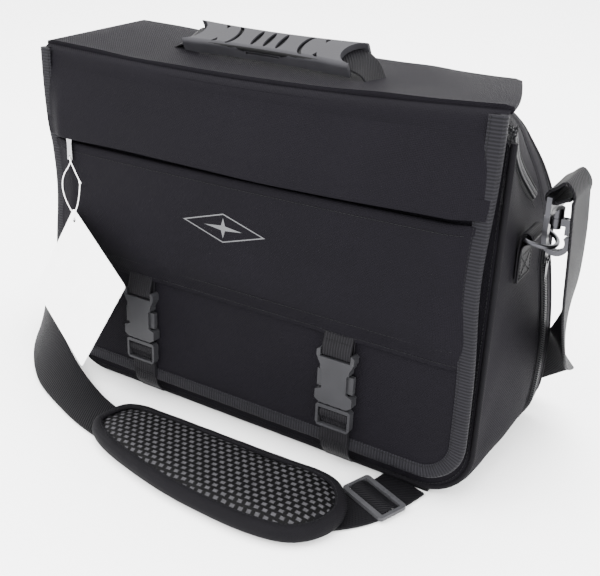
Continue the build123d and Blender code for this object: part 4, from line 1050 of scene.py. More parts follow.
# ------------------------------------------------------------------ front of the bag under the flap
@dataclass
class FrontPockets:
    """Piping, organiser pocket and clear window pocket on the bag's front."""

    half: float = 190.0
    low: float = 66.0
    high: float = 228.0
    rise: float = 6.6

    def build(self, palette: Palette) -> None:
        """Makes the piping, the pocket, its zip and the window."""
        low = np.radians(np.linspace(0, -90, 12))
        corner = np.stack([161.0 + 40.3 * np.cos(low), 46.5 + 40.3 * np.sin(low)], 1)
        right = np.vstack([[(201.3, z) for z in np.linspace(276, 50, 40)], corner,
                           [(x, 6.2) for x in np.linspace(155, 5, 26)]])
        flat = np.vstack([right, right[::-1] * (-1, 1)])
        path = np.stack([flat[:, 0], FORM.front_y(flat[:, 1]) + 1.6, flat[:, 1]], 1)
        piping = Cloth()
        piping.tube(path, 2.5, sides=12)
        middle = np.array((0.0, 0.0, 150.0))
        inward = unit((middle - path) * (1, 0, 1))
        piping.stitches(path + inward * 4.0 + np.array((0, -1.9, 0)), np.array((0.0, -1.0, 0.07)), 1)
        piping.finish("edge_piping", [palette.piping, palette.thread], "piping", "bag", ["front_piping"])
        self.pocket(palette)
        self.window(palette)
        x = np.linspace(-184, 184, 60)
        z = np.full_like(x, 231.4)
        path = np.stack([x, FORM.front_y(z) - 2.6, z], 1)
        Zip("organiser_zip", "organiser_zip_chain", "bag", path, np.array((0.0, -1.0, 0.07)), tape=12.0).build(palette)

    def pocket(self, palette: Palette) -> None:
        """Makes the puffed organiser pocket with its turned edges."""
        x, z = np.meshgrid(np.linspace(-self.half, self.half, 70), np.linspace(self.low, self.high, 34), indexing="ij")
        edge = np.minimum(ease((self.half - np.abs(x)) / 9.0), ease((z - self.low) / 9.0))
        edge = np.minimum(edge, ease((self.high + 6 - z) / 9.0))
        puff = self.rise * edge * (0.93 + 0.07 * np.sin(x / 24.0) * np.sin(z / 17.0))
        grid = np.stack([x, FORM.front_y(z) - 0.6 - puff, z], -1)
        pocket = Cloth()
        pocket.slab(grid, 0.9, np.stack([x, z], -1) * MM)
        for inset in (3.0, 6.0):
            line = [(-self.half + inset, self.high - 4), (-self.half + inset, self.low + inset),
                    (self.half - inset, self.low + inset), (self.half - inset, self.high - 4)]
            path = np.vstack([np.linspace(a, b, 60) for a, b in zip(line, line[1:])])
            depth = self.rise * ease(inset / 9.0)
            rows = np.stack([path[:, 0], FORM.front_y(path[:, 1]) - 0.7 - depth, path[:, 1]], 1)
            pocket.stitches(rows, np.array((0.0, -1.0, 0.07)))
        pocket.finish("organiser_front", [palette.cloth, palette.thread], "cloth", "bag", ["organiser_pocket"])

    def window(self, palette: Palette) -> None:
        """Makes the clear pocket in its bound frame."""
        corners = [(61.0, 89.0), (189.0, 89.0), (189.0, 207.0), (61.0, 207.0)]
        x, z = np.meshgrid(np.linspace(62, 188, 20), np.linspace(90, 206, 18), indexing="ij")
        swell = 0.7 * np.sin(math.pi * (x - 62) / 126) * np.sin(math.pi * (z - 90) / 116)
        clear = Cloth()
        clear.slab(np.stack([x, FORM.front_y(z) - 8.0 - swell, z], -1), 0.4, np.stack([x, z], -1) * MM)
        clear.finish("window_vinyl", [palette.vinyl], "vinyl", "bag", ["window_pocket"])
        edge = Cloth()
        for a, b in zip(corners, corners[1:] + corners[:1]):
            line = np.linspace(a, b, 26)
            path = np.stack([line[:, 0], FORM.front_y(line[:, 1]) - 8.4, line[:, 1]], 1)
            side = np.cross(unit(path[-1:] - path[:1]), np.array((0.0, -1.0, 0.0)))
            edge.ribbon(path, np.broadcast_to(side, path.shape), 7.0, 1.2)
            edge.stitches(path + np.array((0, -0.7, 0)), np.array((0.0, -1.0, 0.0)))
        edge.finish("window_frame", [palette.binding, palette.thread], "binding", "bag")


# ------------------------------------------------------------------ flap
@dataclass
class FlapTop:
    """Padded top of the flap, its two folds and the handle's webbing."""

    back_y: float = 56.5
    front_y: float = -57.5
    thick: float = 4.6

    def surface(self, x: np.ndarray, y: np.ndarray) -> np.ndarray:
        """Upper face of the flap's top."""
        puff = 0.8 * np.sin(math.pi * np.clip((y + 50) / 100, 0, 1)) * ease((198 - np.abs(x)) / 20.0)
        z = 297.0 - FORM.sag(x, y) + puff - 1.2 * (1 - ease((200.5 - np.abs(x)) / 5.0))
        pull = 0.7 * np.sin(x / 23.0 + y / 17.0) * np.exp(-((np.abs(x + 8) - 110) / 40.0) ** 2)
        return FORM.settle(np.stack([x, y, z + pull], -1))

    def build(self, palette: Palette) -> None:
        """Makes the top, its seams and the two fold strips."""
        x, y = np.meshgrid(np.linspace(-200, 200, 90), np.linspace(self.front_y, self.back_y, 30), indexing="ij")
        top = Cloth()
        top.slab(self.surface(x, y)[:, ::-1], self.thick, (np.stack([x, y], -1) * MM)[:, ::-1])
        line = np.linspace(-196, 196, 120)
        for row in (-55.5, -50.5, 51.5):
            top.stitches(self.surface(line, np.full_like(line, row)) + np.array((0, 0, 0.1)), np.array((0, 0, 1.0)))
        line = np.linspace(-52, 52, 40)
        for edge in (-194.5, 194.5):
            top.stitches(self.surface(np.full_like(line, edge), line) + np.array((0, 0, 0.1)), np.array((0, 0, 1.0)))
        top.finish("flap_top", [palette.cloth, palette.thread], "cloth", "flap_top", ["flap_top_panel"])
        self.fold("front_fold", self.front_profile, palette)
        self.fold("rear_fold", self.rear_profile, palette)
        self.handle(palette)

    def front_profile(self, x: float) -> list[tuple[float, float]]:
        """Section of the front fold at one place across, as y and z."""
        sag = float(FORM.sag(x, -62.0))
        return [(-54.0, 297.2 - sag), (-58.0, 297.2 - sag), (-61.2, 296.6 - sag), (-63.8, 294.6 - sag),
                (-65.6, 291.2 - sag), (-66.3, 287.0 - sag * 0.98), (-67.0, 281.0 - sag * 0.92)]

    def rear_profile(self, x: float) -> list[tuple[float, float]]:
        """Section of the rear hinge strip at one place across, as y and z."""
        sag = float(FORM.sag(x, 57.0))
        return [(53.0, 297.3 - sag), (57.0, 297.0 - sag), (60.0, 294.8 - sag), (61.6, 290.5 - sag),
                (62.1, 284.0 - sag * 0.7), (62.6, 276.0 - sag * 0.4), (63.0, 268.0)]

    def fold(self, name: str, profile: Callable[[float], list[tuple[float, float]]], palette: Palette) -> None:
        """Makes one strip lying between two bodies, parented to neither.

        Args:
            name: Name of the piece.
            profile: Section at a place across.
            palette: Finishes.
        """
        half = 199.2 if name == "front_fold" else 176.0
        across = np.linspace(-half, half, 90)
        grid = []
        for x in across:
            section = through([(0.0, *p) for p in profile(x)], each=4)
            section[:, 0] = x
            section[:, 1] += (1.3 if name == "front_fold" else -0.8) * float(ease(np.array((abs(x) - 184) / 15)))
            grid.append(section)
        grid = FORM.settle(np.stack(grid))
        strip = Cloth()
        strip.slab(grid if name == "front_fold" else grid[::-1], 1.1)
        if name == "rear_fold":
            for row in (-2, -6):
                strip.stitches(grid[:, row] + np.array((0, 0.2, 0)), np.array((0, 1.0, 0)))
        piece = strip.finish(name, [palette.cloth, palette.thread], "cloth")
        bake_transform(piece)

    def handle(self, palette: Palette) -> None:
        """Makes the two webbing arms that carry the grip."""
        turn = math.radians(-5.0)
        along = np.array((math.cos(turn), math.sin(turn), 0.0))
        side = np.array((-math.sin(turn), math.cos(turn), 0.0))
        centre = np.array((-8.0, -12.0, 0.0))
        for name, sign in (("handle_arm_right", 1), ("handle_arm_left", -1)):
            flat = []
            for place in (118.0, 112.0, 104.0, 97.0):
                at = centre + along * sign * place
                flat.append((*at[:2], float(self.surface(at[0:1], at[1:2])[0, 2]) + 1.0))
            for place, z in ((90.5, 300.4), (84.0, 305.0), (76.0, 307.4), (60.0, 307.7)):
                flat.append((*(centre + along * sign * place)[:2], z))
            path = through(flat, 3.0)
            tip = math.radians(24.0) * ease((100.0 - np.abs((path - centre) @ along)) / 20.0)[:, None]
            twist = side * np.cos(tip) + np.array((0.0, 0.0, 1.0)) * np.sin(tip)
            arm = Cloth()
            arm.ribbon(path, twist, 24.0, 1.5)
            seat = path[:10]
            for off in (-9.5, 9.5):
                arm.stitches(seat + side * off + np.array((0, 0, 0.8)), np.array((0, 0, 1.0)), pitch=2.6)
            for row in (1, 8):
                bar = np.linspace(path[row] - side * 9.5, path[row] + side * 9.5, 10)
                arm.stitches(bar + np.array((0, 0, 0.8)), np.array((0, 0, 1.0)), pitch=2.6)
            piece = arm.finish(name, [palette.webbing, palette.thread], "webbing")
            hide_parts("handle_webbing")
            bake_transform(piece)


@dataclass
class FlapFront:
    """Front of the flap: padded panel, zipped pocket, storm band, ribbed edge and printed mark."""

    panel: float = 3.0
    pocket_out: float = 10.9
    pocket_top: float = 72.0
    hem: float = 177.0
    band_low: float = 68.0

    def seat(self, down: np.ndarray) -> np.ndarray:
        """How far the sewn layers stand out under the edge binding."""
        return 3.2 + 1.3 * (1 - ease((np.asarray(down) - 60.0) / 20.0)) + 0.7 * (1 - ease((np.asarray(down) - 168) / 16.0))

    def build(self, palette: Palette) -> None:
        """Makes every piece of the flap's front."""
        self.back(palette)
        self.pocket(palette)
        self.band(palette)
        self.edge(palette)
        self.mark(palette)
        x = np.linspace(-186, 186, 60)
        path = FORM.flap(x, 63.0, 4.7) + 0 * x[:, None]
        Zip("flap_zip", "flap_zip_chain", "flap_front", path, FORM.flap_out(), tape=13.0).build(palette)

    def back(self, palette: Palette) -> None:
        """Padded back layer, seen below the pocket and inside the flap."""
        down = np.concatenate([np.linspace(4.0, 232.0, 44), np.linspace(237.0, 269.5, 14)])
        share = np.linspace(-1, 1, 76)
        width = FORM.flap_width(down, 2.2)
        x = width[None, :] * share[:, None]
        low = np.broadcast_to(down, x.shape)
        pad = 0.9 * ease((196 - np.abs(x)) / 14.0) * ease((268 - low) / 14.0) * ease((low - 180) / 12.0)
        ripple = 0.45 * np.sin(x / 29.0 + low / 41.0) * np.sin(low / 23.0) * ease((low - 185) / 20.0) * ease((265 - low) / 20.0)
        grid = FORM.flap(x, low, self.panel + pad * 0.6 + ripple * 0.5)
        layer = Cloth()
        layer.slab(grid[::-1], self.panel, (np.stack([x, -low], -1) * MM)[::-1])
        layer.finish("flap_panel", [palette.cloth], "cloth", "flap_front", ["flap_front_panel"])

    def pocket(self, palette: Palette) -> None:
        """Pocket skin, puffed by its space, with a turned top edge and a stitched hem."""
        x = np.linspace(-197.4, 197.4, 96)[:, None]
        rows = [(79.0, 6.6), (73.5, 7.0), (72.2, 8.2), (73.0, 9.9), (76.5, 10.75), (84, 10.9), (92, 10.9), (102, 10.9),
                (112, 10.9), (122, 10.9), (132, 11.3), (141, 11.9), (150, 12.0), (157, 11.4), (163, 10.2), (167.5, 8.6),
                (171, 7.0), (174, 6.1), (177.0, 5.7), (178.2, 5.2), (178.0, 4.2)]
        fine = through([(0.0, *r) for r in rows], 2.2)
        down, rise = fine[:, 1][None], fine[:, 2][None]
        taper = ease((197.5 - np.abs(x)) / 26.0)
        floor = np.minimum(self.seat(down), rise)
        rise = floor + (rise - floor) * taper
        lower = ease((down - 126) / 18.0) * ease((172 - down) / 16.0)
        rise = rise + lower * (0.7 * np.sin(x / 37.0 + 0.6) * np.sin(down / 15.0) - 0.3 * np.cos(x / 19.0))
        webbing = np.exp(-((np.abs(x) - 96.0) / 15.5) ** 6)
        rise = rise + webbing * 1.5 * ease((down - 160) / 12.0) * (down < 178.5)
        down = down + 0.0 * x
        grid = FORM.flap(x, down, rise)
        skin = Cloth()
        skin.slab(grid[::-1], 0.9, (np.stack([x + 0 * down, -down], -1) * MM)[::-1])
        line = np.linspace(-187, 187, 160)
        for row in (79.5, 174.6, 163.2):
            height = np.interp(row, fine[:, 1][4:], fine[:, 2][4:])
            bump = np.exp(-((np.abs(line) - 96.0) / 15.5) ** 6) * 1.5 * float(ease(np.array((row - 160) / 12.0)))
            level = self.seat(row) + (height - self.seat(row)) * ease((197.5 - np.abs(line)) / 26.0) + bump
            skin.stitches(FORM.flap(line, row, level + 0.1), FORM.flap_out())
        skin.finish("flap_pocket_skin", [palette.cloth, palette.thread], "cloth", "flap_front", ["flap_pocket"])

    def band(self, palette: Palette) -> None:
        """Storm band hanging over the pocket's zip, with a folded lower edge."""
        x = np.linspace(-198.0, 198.0, 100)[:, None]
        rows = [(11.0, 4.2), (18, 6.0), (26, 8.4), (35, 10.8), (44, 13.0), (52, 14.6), (59, 15.2), (65, 15.3),
                (67.8, 15.1), (68.4, 14.5), (67.6, 13.9), (62, 13.75), (54, 13.4)]
        fine = through([(0.0, *r) for r in rows], 2.0)
        down, rise = fine[:, 1][None] + 0 * x, fine[:, 2][None] + 0 * x
        taper = ease((198.4 - np.abs(x)) / 24.0)
        floor = np.minimum(self.seat(down) + 0.4, rise)
        rise = floor + (rise - floor) * taper
        soft = ease((down - 16) / 24.0)
        rise = rise + soft * taper * (0.35 * np.sin(x / 33.0 + 1.3) + 0.25 * np.sin(x / 14.0))
        down = down + soft * (0.8 * np.sin(x / 46.0 + 0.5))
        band = Cloth()
        band.slab(FORM.flap(x, down, rise)[::-1], 0.6, (np.stack([x + 0 * down, -down], -1) * MM)[::-1])
        line = np.linspace(-188, 188, 160)
        for row in (63.5, 57.5):
            height = np.interp(row, fine[:, 1][:20], fine[:, 2][:20])
            level = self.seat(row) + 0.4 + (height - self.seat(row) - 0.4) * ease((198.4 - np.abs(line)) / 24.0)
            level = level + ease((198.4 - np.abs(line)) / 24.0) * (0.35 * np.sin(line / 33.0 + 1.3) + 0.25 * np.sin(line / 14.0))
            band.stitches(FORM.flap(line, row + 0.8 * np.sin(line / 46.0 + 0.5), level + 0.1), FORM.flap_out())
        band.finish("storm_band_cloth", [palette.cloth, palette.thread], "cloth", "flap_front", ["storm_band"])

    def edge(self, palette: Palette) -> None:
        """Ribbed binding folded over the flap's sides and lower edge."""
        turn = np.radians(np.linspace(0, 90, 14))
        corner = np.stack([165 + 35.2 * np.cos(turn), 237 + 35.2 * np.sin(turn)], 1)
        right = np.vstack([[(200.2, d) for d in np.linspace(-0.5, 234, 60)], corner,
                           [(x, 272.2) for x in np.linspace(158, 4, 30)]])
        line = np.vstack([right, right[::-1] * (-1, 1)])
        run = unit(np.gradient(line, axis=0))
        inward = np.stack([-run[:, 1], run[:, 0]], 1)
        out = FORM.flap_out()
        seat = self.seat(line[:, 1])
        base = FORM.flap(line[:, 0], line[:, 1], 0.0)
        inner = FORM.flap(line[:, 0] + inward[:, 0], line[:, 1] + inward[:, 1], 0.0)
        side = unit(inner - base)
        profile = []
        for high in seat:
            profile.append([(11.6, high + 0.1), (11.4, high + 0.9), (8.0, high + 1.25), (4.0, high + 1.2),
                            (1.4, high + 0.9), (0.0, high * 0.75), (-0.3, high * 0.35), (0.0, -0.4), (1.6, -1.1),
                            (5.0, -1.2), (9.6, -1.1), (9.8, -0.2), (5.0, 0.4), (5.0, high - 0.3)])
        cover = Cloth()
        cover.sweep(base, side, np.broadcast_to(out, base.shape), profile)
        cover.stitches(base + side * 9.8 + out * (seat + 1.1)[:, None], out)
        cover.finish("flap_edge", [palette.binding, palette.thread], "binding", "flap_front", ["flap_binding"])

    def mark(self, palette: Palette) -> None:
        """Printed mark: a star in a lozenge; the loop for the feathered bars at both sides draws none."""
        ink = Cloth()
        centre = (-8.0, 113.0)

        def shape(outer: Sequence[tuple[float, float]], inner: Sequence[tuple[float, float]]) -> None:
            """Adds a printed line between two outlines."""
            rings = []
            for points in (outer, inner):
                closed = np.array(list(points) + [points[0]], float)
                rings.append(FORM.flap(centre[0] + closed[:, 0], centre[1] - closed[:, 1], self.pocket_out + 0.28))
            ink.patch(np.stack(rings, 1))

        shape([(-39, 0), (0, 12), (39, 0), (0, -12)], [(-36, 0), (0, 11), (36, 0), (0, -11)])
        star = [(0, 8.4), (1.9, 1.9), (18, 0), (1.9, -1.9), (0, -8.4), (-1.9, -1.9), (-18, 0), (-1.9, 1.9)]
        shape(star, [(a * 0.02, b * 0.02) for a, b in star])
        for sign in (-1, 1):
            for step in range(4):
                reach, lift = 31.0 - 5.0 * step, 1.3 + 1.55 * step
                start = 6.0 + 1.3 * step
                bar = [(sign * start, lift), (sign * reach * (1 - 0.02 * step), lift), (sign * (reach - 1.5), lift + 0.75),
                       (sign * start, lift + 0.75)]
                for turn in (1, -1):
                    if step < 3 and (36 - reach) * 12 / 39 > 0:
                        limit = 10.4 - lift
                        if reach < 36 * (1 - (lift + 1.2) / 12.0):
                            shape([(a, b * turn) for a, b in bar], [(a, (lift + 0.38) * turn) for a, _ in bar])
                    del turn
        ink.finish("printed_mark", [palette.print], "mark", "flap_front", ["mark"])


# ------------------------------------------------------------------ buckle webbing
@dataclass
class BuckleWebbing:
    """Webbing above and below the two side-release buckles."""

    places: tuple[float, float] = (-96.0, 96.0)
    width: float = 25.0
    top: float = 188.0
    rise: float = 3.4

    def strand(self, x: float, section: Sequence[tuple[float, float]], piece: Cloth) -> np.ndarray:
        """Adds a ribbon through places given as rise and distance below the buckle's top."""
        flat = through([(0.0, b, a) for a, b in section], 1.2)
        path = FORM.flap(np.full(len(flat), x), self.top + flat[:, 1], self.rise + flat[:, 2])
        piece.ribbon(path, np.broadcast_to(np.array((1.0, 0, 0)), path.shape), self.width, 1.3)
        return path

    def build(self, palette: Palette) -> None:
        """Makes the sewn loops and the adjusting ends."""
        out = FORM.flap_out()
        for name, x in zip(("left", "right"), self.places):
            loop = Cloth()
            self.strand(x, [(0.4, -17), (0.7, -10), (1.1, -3), (1.45, 1.6), (1.6, 4.2), (2.6, 5.15), (4.0, 5.2), (5.6, 5.1),
                            (6.5, 4.2), (6.6, 1.6), (6.3, -2.4), (4.6, -8), (3.2, -13), (2.6, -17)], loop)
            row = np.linspace(x - 11, x + 11, 14)
            loop.stitches(FORM.flap(row, self.top - 7.5, self.rise + 5.6), out, pitch=2.4)
            loop.finish("buckle_loop_" + name, [palette.tab, palette.thread], "webbing", "flap_front",
                        ["webbing_upper"])
            tail = Cloth()
            self.strand(x, [(2.5, 81), (2.35, 74), (2.5, 66), (3.4, 60.5), (5.2, 57.6), (5.75, 55.5), (5.75, 53.0),
                            (5.0, 51.6), (3.4, 51.15), (1.7, 51.5), (1.0, 53), (0.85, 58), (0.75, 66), (0.75, 76),
                            (0.6, 83), (-0.6, 88.5), (-4.2, 93.5), (-8.8, 98.8)], tail)
            row = np.linspace(x - 11, x + 11, 14)
            for place in (77.5, 79.5):
                tail.stitches(FORM.flap(row, self.top + place, self.rise + 3.3), out, pitch=2.4)
            piece = tail.finish("buckle_tail_" + name, [palette.tab, palette.thread], "webbing")
            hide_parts("webbing_lower_" + name)
            start = FORM.flap(x, self.top + 92.0, 0.0) * MM
            end = FORM.flap(x, self.top + 66.0, 0.0) * MM
            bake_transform(piece)


# ------------------------------------------------------------------ side hardware
@dataclass
class SideHardware:
    """Ring tabs, wire D-rings and strap ends at both sides."""

    tab_width: float = 25.0
    ring_y: float = -14.0
    droop: float = math.radians(15.0)
    wire: float = 1.6

    def build(self, palette: Palette) -> None:
        """Makes the soft tabs, the bent-wire rings and the sewn strap ends."""
        for name, sign in (("right", 1), ("left", -1)):
            mirror = np.array((sign, 1.0, 1.0))
            width = np.array((0.0, 1.0, 0.0))
            tab = Cloth()
            path = through([(203.9, 0, 168.5), (203.8, 0, 182), (204.0, 0, 195), (205.0, 0, 203.0), (206.5, 0, 206.6),
                            (209.2, 0, 207.6), (211.9, 0, 206.2), (212.9, 0, 203.4), (211.9, 0, 200.6), (209.0, 0, 199.2),
                            (206.6, 0, 196.5), (205.6, 0, 190), (205.4, 0, 180), (205.3, 0, 169)], 1.6)
            path = (path + (0, self.ring_y, 0)) * mirror
            tab.ribbon(path, np.broadcast_to(width, path.shape), self.tab_width, 1.2)
            face = 206.05 * sign
            box = [(-10.5, 171), (10.5, 171), (10.5, 189), (-10.5, 189), (-10.5, 171)]
            for a, b in list(zip(box, box[1:])) + [(box[0], box[2]), (box[1], box[3])]:
                row = np.linspace((face, self.ring_y + a[0], a[1]), (face, self.ring_y + b[0], b[1]), 12)
                tab.stitches(row, np.array((sign, 0.0, 0.0)), pitch=2.6)
            tab.finish("ring_tab_" + name, [palette.tab, palette.thread], "webbing", "bag", ["ring_tabs"])
            turn = np.radians(np.linspace(-11.5, 191.5, 40))
            arc = np.stack([15.0 * np.cos(turn), 3.0 + 15.0 * np.sin(turn)], 1)
            bar = np.stack([np.linspace(-13.5, 13.5, 12), np.zeros(12)], 1)
            loop = np.vstack([bar, arc])
            out = np.array((math.cos(self.droop), 0.0, -math.sin(self.droop)))
            ring = (np.array((208.8, self.ring_y, 203.6)) + loop[:, :1] * width + loop[:, 1:] * out) * mirror
            wire = Cloth()
            wire.tube(ring, self.wire, closed=True, sides=12)
            wire.finish("wire_ring_" + name, [palette.metal], "metal", "ring_" + name, ["d_ring_" + name])
            ear = Cloth()
            path = through([(238.4, 0, 236.5), (238.6, 0, 241.0), (236.8, 0, 245.4), (233.2, 0, 249.4), (230.6, 0, 249.2),
                            (226.6, 0, 245.6), (222.4, 0, 242.6), (220.5, 0, 239.6), (220.8, 0, 236.4), (223.2, 0, 234.9),
                            (227.4, 0, 235.0), (232.0, 0, 237.2), (236.4, 0, 238.9)], 1.8)
            path = (path + (0, self.ring_y, 0)) * mirror
            ear.ribbon(path, np.broadcast_to(width, path.shape), 38.0, 1.9)
            ear.finish("strap_end_" + name, [palette.webbing], "webbing", "bag", ["strap_ears"])


# ------------------------------------------------------------------ shoulder strap and pad
Station = tuple[Sequence[float], Sequence[float]]


@dataclass
class Strap:
    """Shoulder strap webbing, from both rings to the pad lying in front of the bag."""

    width: float = 38.0
    thick: float = 1.9
    turn: float = math.radians(68.0)

    def on_adjuster(self, along: float, z: float) -> Station:
        """Station on the line through the adjuster."""
        c, s = math.cos(self.turn), math.sin(self.turn)
        return (140.0 - along * c, -102.0 - along * s, z), (-s, c, 0)

    def on_pad(self, along: float, z: float) -> Station:
        """Station on the straight line under the pad."""
        return (14.0 + 0.99905 * along, -144.0 - 0.04362 * along, z), (-0.04362, -0.99905, 0)

    def lay(self, name: str, node: str, stations: Sequence[Station], palette: Palette) -> None:
        """Makes one length of webbing.

        Args:
            name: Name of the piece.
            node: CAD node that it replaces.
            stations: Places and width directions along it.
            palette: Finishes.
        """
        line = through([(*place, *width) for place, width in stations], 4.0)
        piece = Cloth()
        piece.ribbon(line[:, :3], unit(line[:, 3:]), self.width, self.thick)
        piece.finish(name, [palette.webbing], "webbing", "bag", [node])

    def build(self, palette: Palette) -> None:
        """Makes both lengths."""
        self.lay("strap_back_run", "strap_right", [
            ((238, -14, 237.9), (0, 1, 0)), ((239.5, -12, 200), (0, 1, 0.05)), ((237, 0, 150), (-0.1, 0.95, 0.3)),
            ((228, 32, 100), (-0.5, 0.65, 0.75)), ((213, 86, 62), (-0.85, 0.1, 0.72)), ((182, 102, 32), (-0.95, 0, 0.57)),
            ((161, 103, 12.5), (-0.95, 0, 0.33)), ((153, 90, 1.8), (-1, 0, 0)), ((151, 70, 1.4), (-1, 0, 0)),
            ((151, 20, 1.4), (-1, 0, 0)), ((151, -30, 1.4), (-1, 0, 0)), ((151, -70, 1.4), (-1, 0, 0))], palette)
        self.lay("strap_front_run", "strap_front", [
            ((151, -70, 1.4), (-1, 0, 0)), self.on_adjuster(-17, 1.4), self.on_adjuster(-9.5, 1.7), self.on_adjuster(-3, 6.0),
            self.on_adjuster(3, 6.0), self.on_adjuster(9.5, 1.7), self.on_adjuster(14, 1.4),
            ((122, -130, 1.9), (-0.5, 0.86, 0)), self.on_pad(84, 1.7), self.on_pad(40, 1.7), self.on_pad(0, 1.7),
            self.on_pad(-40, 1.7), self.on_pad(-78, 1.7), ((-112, -132, 2.0), (0.2, 0.98, 0)),
            ((-150, -120, 3.0), (0.36, 0.93, 0.05)), ((-190, -104, 8.0), (0.45, 0.8, 0.3)),
            ((-228, -80, 14.5), (0.4, 0.6, 0.65)), ((-262, -52, 19.2), (0.25, 0.3, 0.92)), ((-284, -22, 20.4), (0.05, 0.05, 1)),
            ((-287, 8, 20.6), (0, 0, 1)), ((-272, 36, 22.5), (0, 0, 1)), ((-248, 49, 40), (-0.85, -0.3, 0.45)),
            ((-237, 44, 75), (-0.5, -0.85, -0.08)), ((-236, 26, 120), (-0.1, -0.97, -0.34)), ((-239, 5, 170), (0, -1, -0.3)),
            ((-239, -12, 205), (0, -1, -0.05)), ((-238, -14, 237.9), (0, -1, 0))], palette)


@dataclass
class ShoulderPad:
    """Shoulder pad: stuffed core, anti-slip face, bound edge and the loops that hold it on the strap."""

    low: float = 3.6
    high: float = 12.6
    cap: float = 2.6
    outline: tuple[tuple[float, float], ...] = (
        (-104, -150), (-82, -165), (-48, -175), (0, -184), (40, -187), (78, -187), (110, -181), (128, -166), (136, -142),
        (128, -120), (106, -104), (60, -105), (4, -106), (-50, -107), (-90, -110), (-101, -128))

    def edge(self, inset: float, count: int = 120) -> np.ndarray:
        """Outline of the pad, drawn in by a distance, as x and y."""
        points = list(self.outline)
        line = through([(*p, 0.0) for p in points[-2:] + points + points[:2]], 2.0)[:, :2]
        start = np.argmin(np.linalg.norm(line[:60] - points[0], axis=1))
        stop = len(line) - 60 + np.argmin(np.linalg.norm(line[-60:] - points[0], axis=1))
        line = line[start:stop]
        away = np.concatenate([[0], np.cumsum(np.linalg.norm(np.diff(np.vstack([line, line[:1]]), axis=0), axis=1))])
        at = np.linspace(0, away[-1], count, endpoint=False)
        whole = np.vstack([line, line[:1]])
        ring = np.stack([np.interp(at, away, whole[:, i]) for i in range(2)], 1)
        for _ in range(6):
            ring = (np.roll(ring, 1, 0) + 2 * ring + np.roll(ring, -1, 0)) / 4
        run = unit(np.roll(ring, -1, 0) - np.roll(ring, 1, 0))
        return ring + np.stack([-run[:, 1], run[:, 0]], 1) * inset

    def rings(self, edge: np.ndarray, count: int) -> np.ndarray:
        """Rings that shrink from an outline to the pad's middle."""
        middle = edge.mean(0)
        return np.stack([middle + (edge - middle) * share for share in np.linspace(1, 0, count)])

    def core(self, palette: Palette) -> bpy.types.Object:
        """Stuffed core, swelled by air pressure so that its faces crown."""
        closed = np.vstack([self.edge(2.6), self.edge(2.6)[:1]])
        body = Cloth()
        stack = [(0.0, self.low + 2.4), (1.4, self.low + 0.6)]
        sheets = self.rings(closed, 12)
        lower = np.concatenate([sheets[::-1], sheets[:1]])[:-1]
        side = []
        for inset, z in ((1.8, self.low), (0.5, self.low + 1.2), (0.0, (self.low + self.high) / 2), (0.5, self.high - 1.2),
                         (1.8, self.high)):
            ring = self.edge(2.6 + inset)
            side.append(np.column_stack([np.vstack([ring, ring[:1]]), np.full(len(ring) + 1, z)]))
        del stack, lower
        middle = sheets[-1]
        top = [side[-1] + (np.column_stack([middle, middle[:, 0] * 0 + self.high]) - side[-1]) * t
               for t in np.linspace(0, 1, 14)[1:]]
        under = [side[0] + (np.column_stack([middle, middle[:, 0] * 0 + self.low]) - side[0]) * t
                 for t in np.linspace(1, 0, 14)[:-1]]
        body.patch(np.stack(under + side + top))
        core = body.finish("pad_core", [palette.soft], "foam", sharp=180.0)
        core.data.materials.clear()
        remesh = core.modifiers.new("even", "REMESH")
        remesh.mode = "VOXEL"
        remesh.voxel_size = 0.0045
        self.settle(core)
        core.data.materials.append(palette.soft)
        core.data.shade_smooth()
        self.swell(core)
        round_off = core.modifiers.new("round", "SUBSURF")
        round_off.levels = round_off.render_levels = 1
        self.settle(core)
        core.data.shade_smooth()
        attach(core, "pad")
        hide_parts("pad_body")
        return core

    def settle(self, piece: bpy.types.Object) -> None:
        """Applies every modifier of a piece to its mesh."""
        graph = bpy.context.evaluated_depsgraph_get()
        mesh = bpy.data.meshes.new_from_object(piece.evaluated_get(graph), depsgraph=graph)
        piece.modifiers.clear()
        piece.data = mesh

    def swell(self, piece: bpy.types.Object) -> None:
        """Runs the cloth simulation and keeps its result, no point moving further than the cap."""
        before = np.array([v.co[:] for v in piece.data.vertices])
        cloth = piece.modifiers.new("air", "CLOTH")
        cloth.settings.quality = 5
        cloth.settings.use_pressure = True
        cloth.settings.uniform_pressure_force = 4.0
        cloth.settings.effector_weights.gravity = 0.0
        scene = bpy.context.scene
        for number in range(1, 21):
            scene.frame_set(number)
        graph = bpy.context.evaluated_depsgraph_get()
        mesh = piece.evaluated_get(graph).to_mesh()
        after = np.array([v.co[:] for v in mesh.vertices])
        piece.modifiers.clear()
        scene.frame_set(1)
        move = after - before
        move[:, 2] = np.where(before[:, 2] < (self.low + 2.5) * MM, 0.0, move[:, 2])
        reach = np.linalg.norm(move, axis=1, keepdims=True)
        move = move * np.minimum(1.0, self.cap * MM / np.maximum(reach, 1e-9))
        piece.data.vertices.foreach_set("co", (before + move).astype(np.float32).ravel())
        piece.data.update()

    def build(self, palette: Palette) -> None:
        """Makes the core, the face, the binding and the loops."""
        core = self.core(palette)
        tree = BVHTree.FromPolygons([v.co[:] for v in core.data.vertices], [p.vertices[:] for p in core.data.polygons])

        def over(x: float, y: float) -> float:
            """Height of the core's upper face, in millimetres."""
            hit = tree.ray_cast(Vector((x * MM, y * MM, 0.1)), Vector((0, 0, -1)))[0]
            return hit.z / MM if hit else self.high

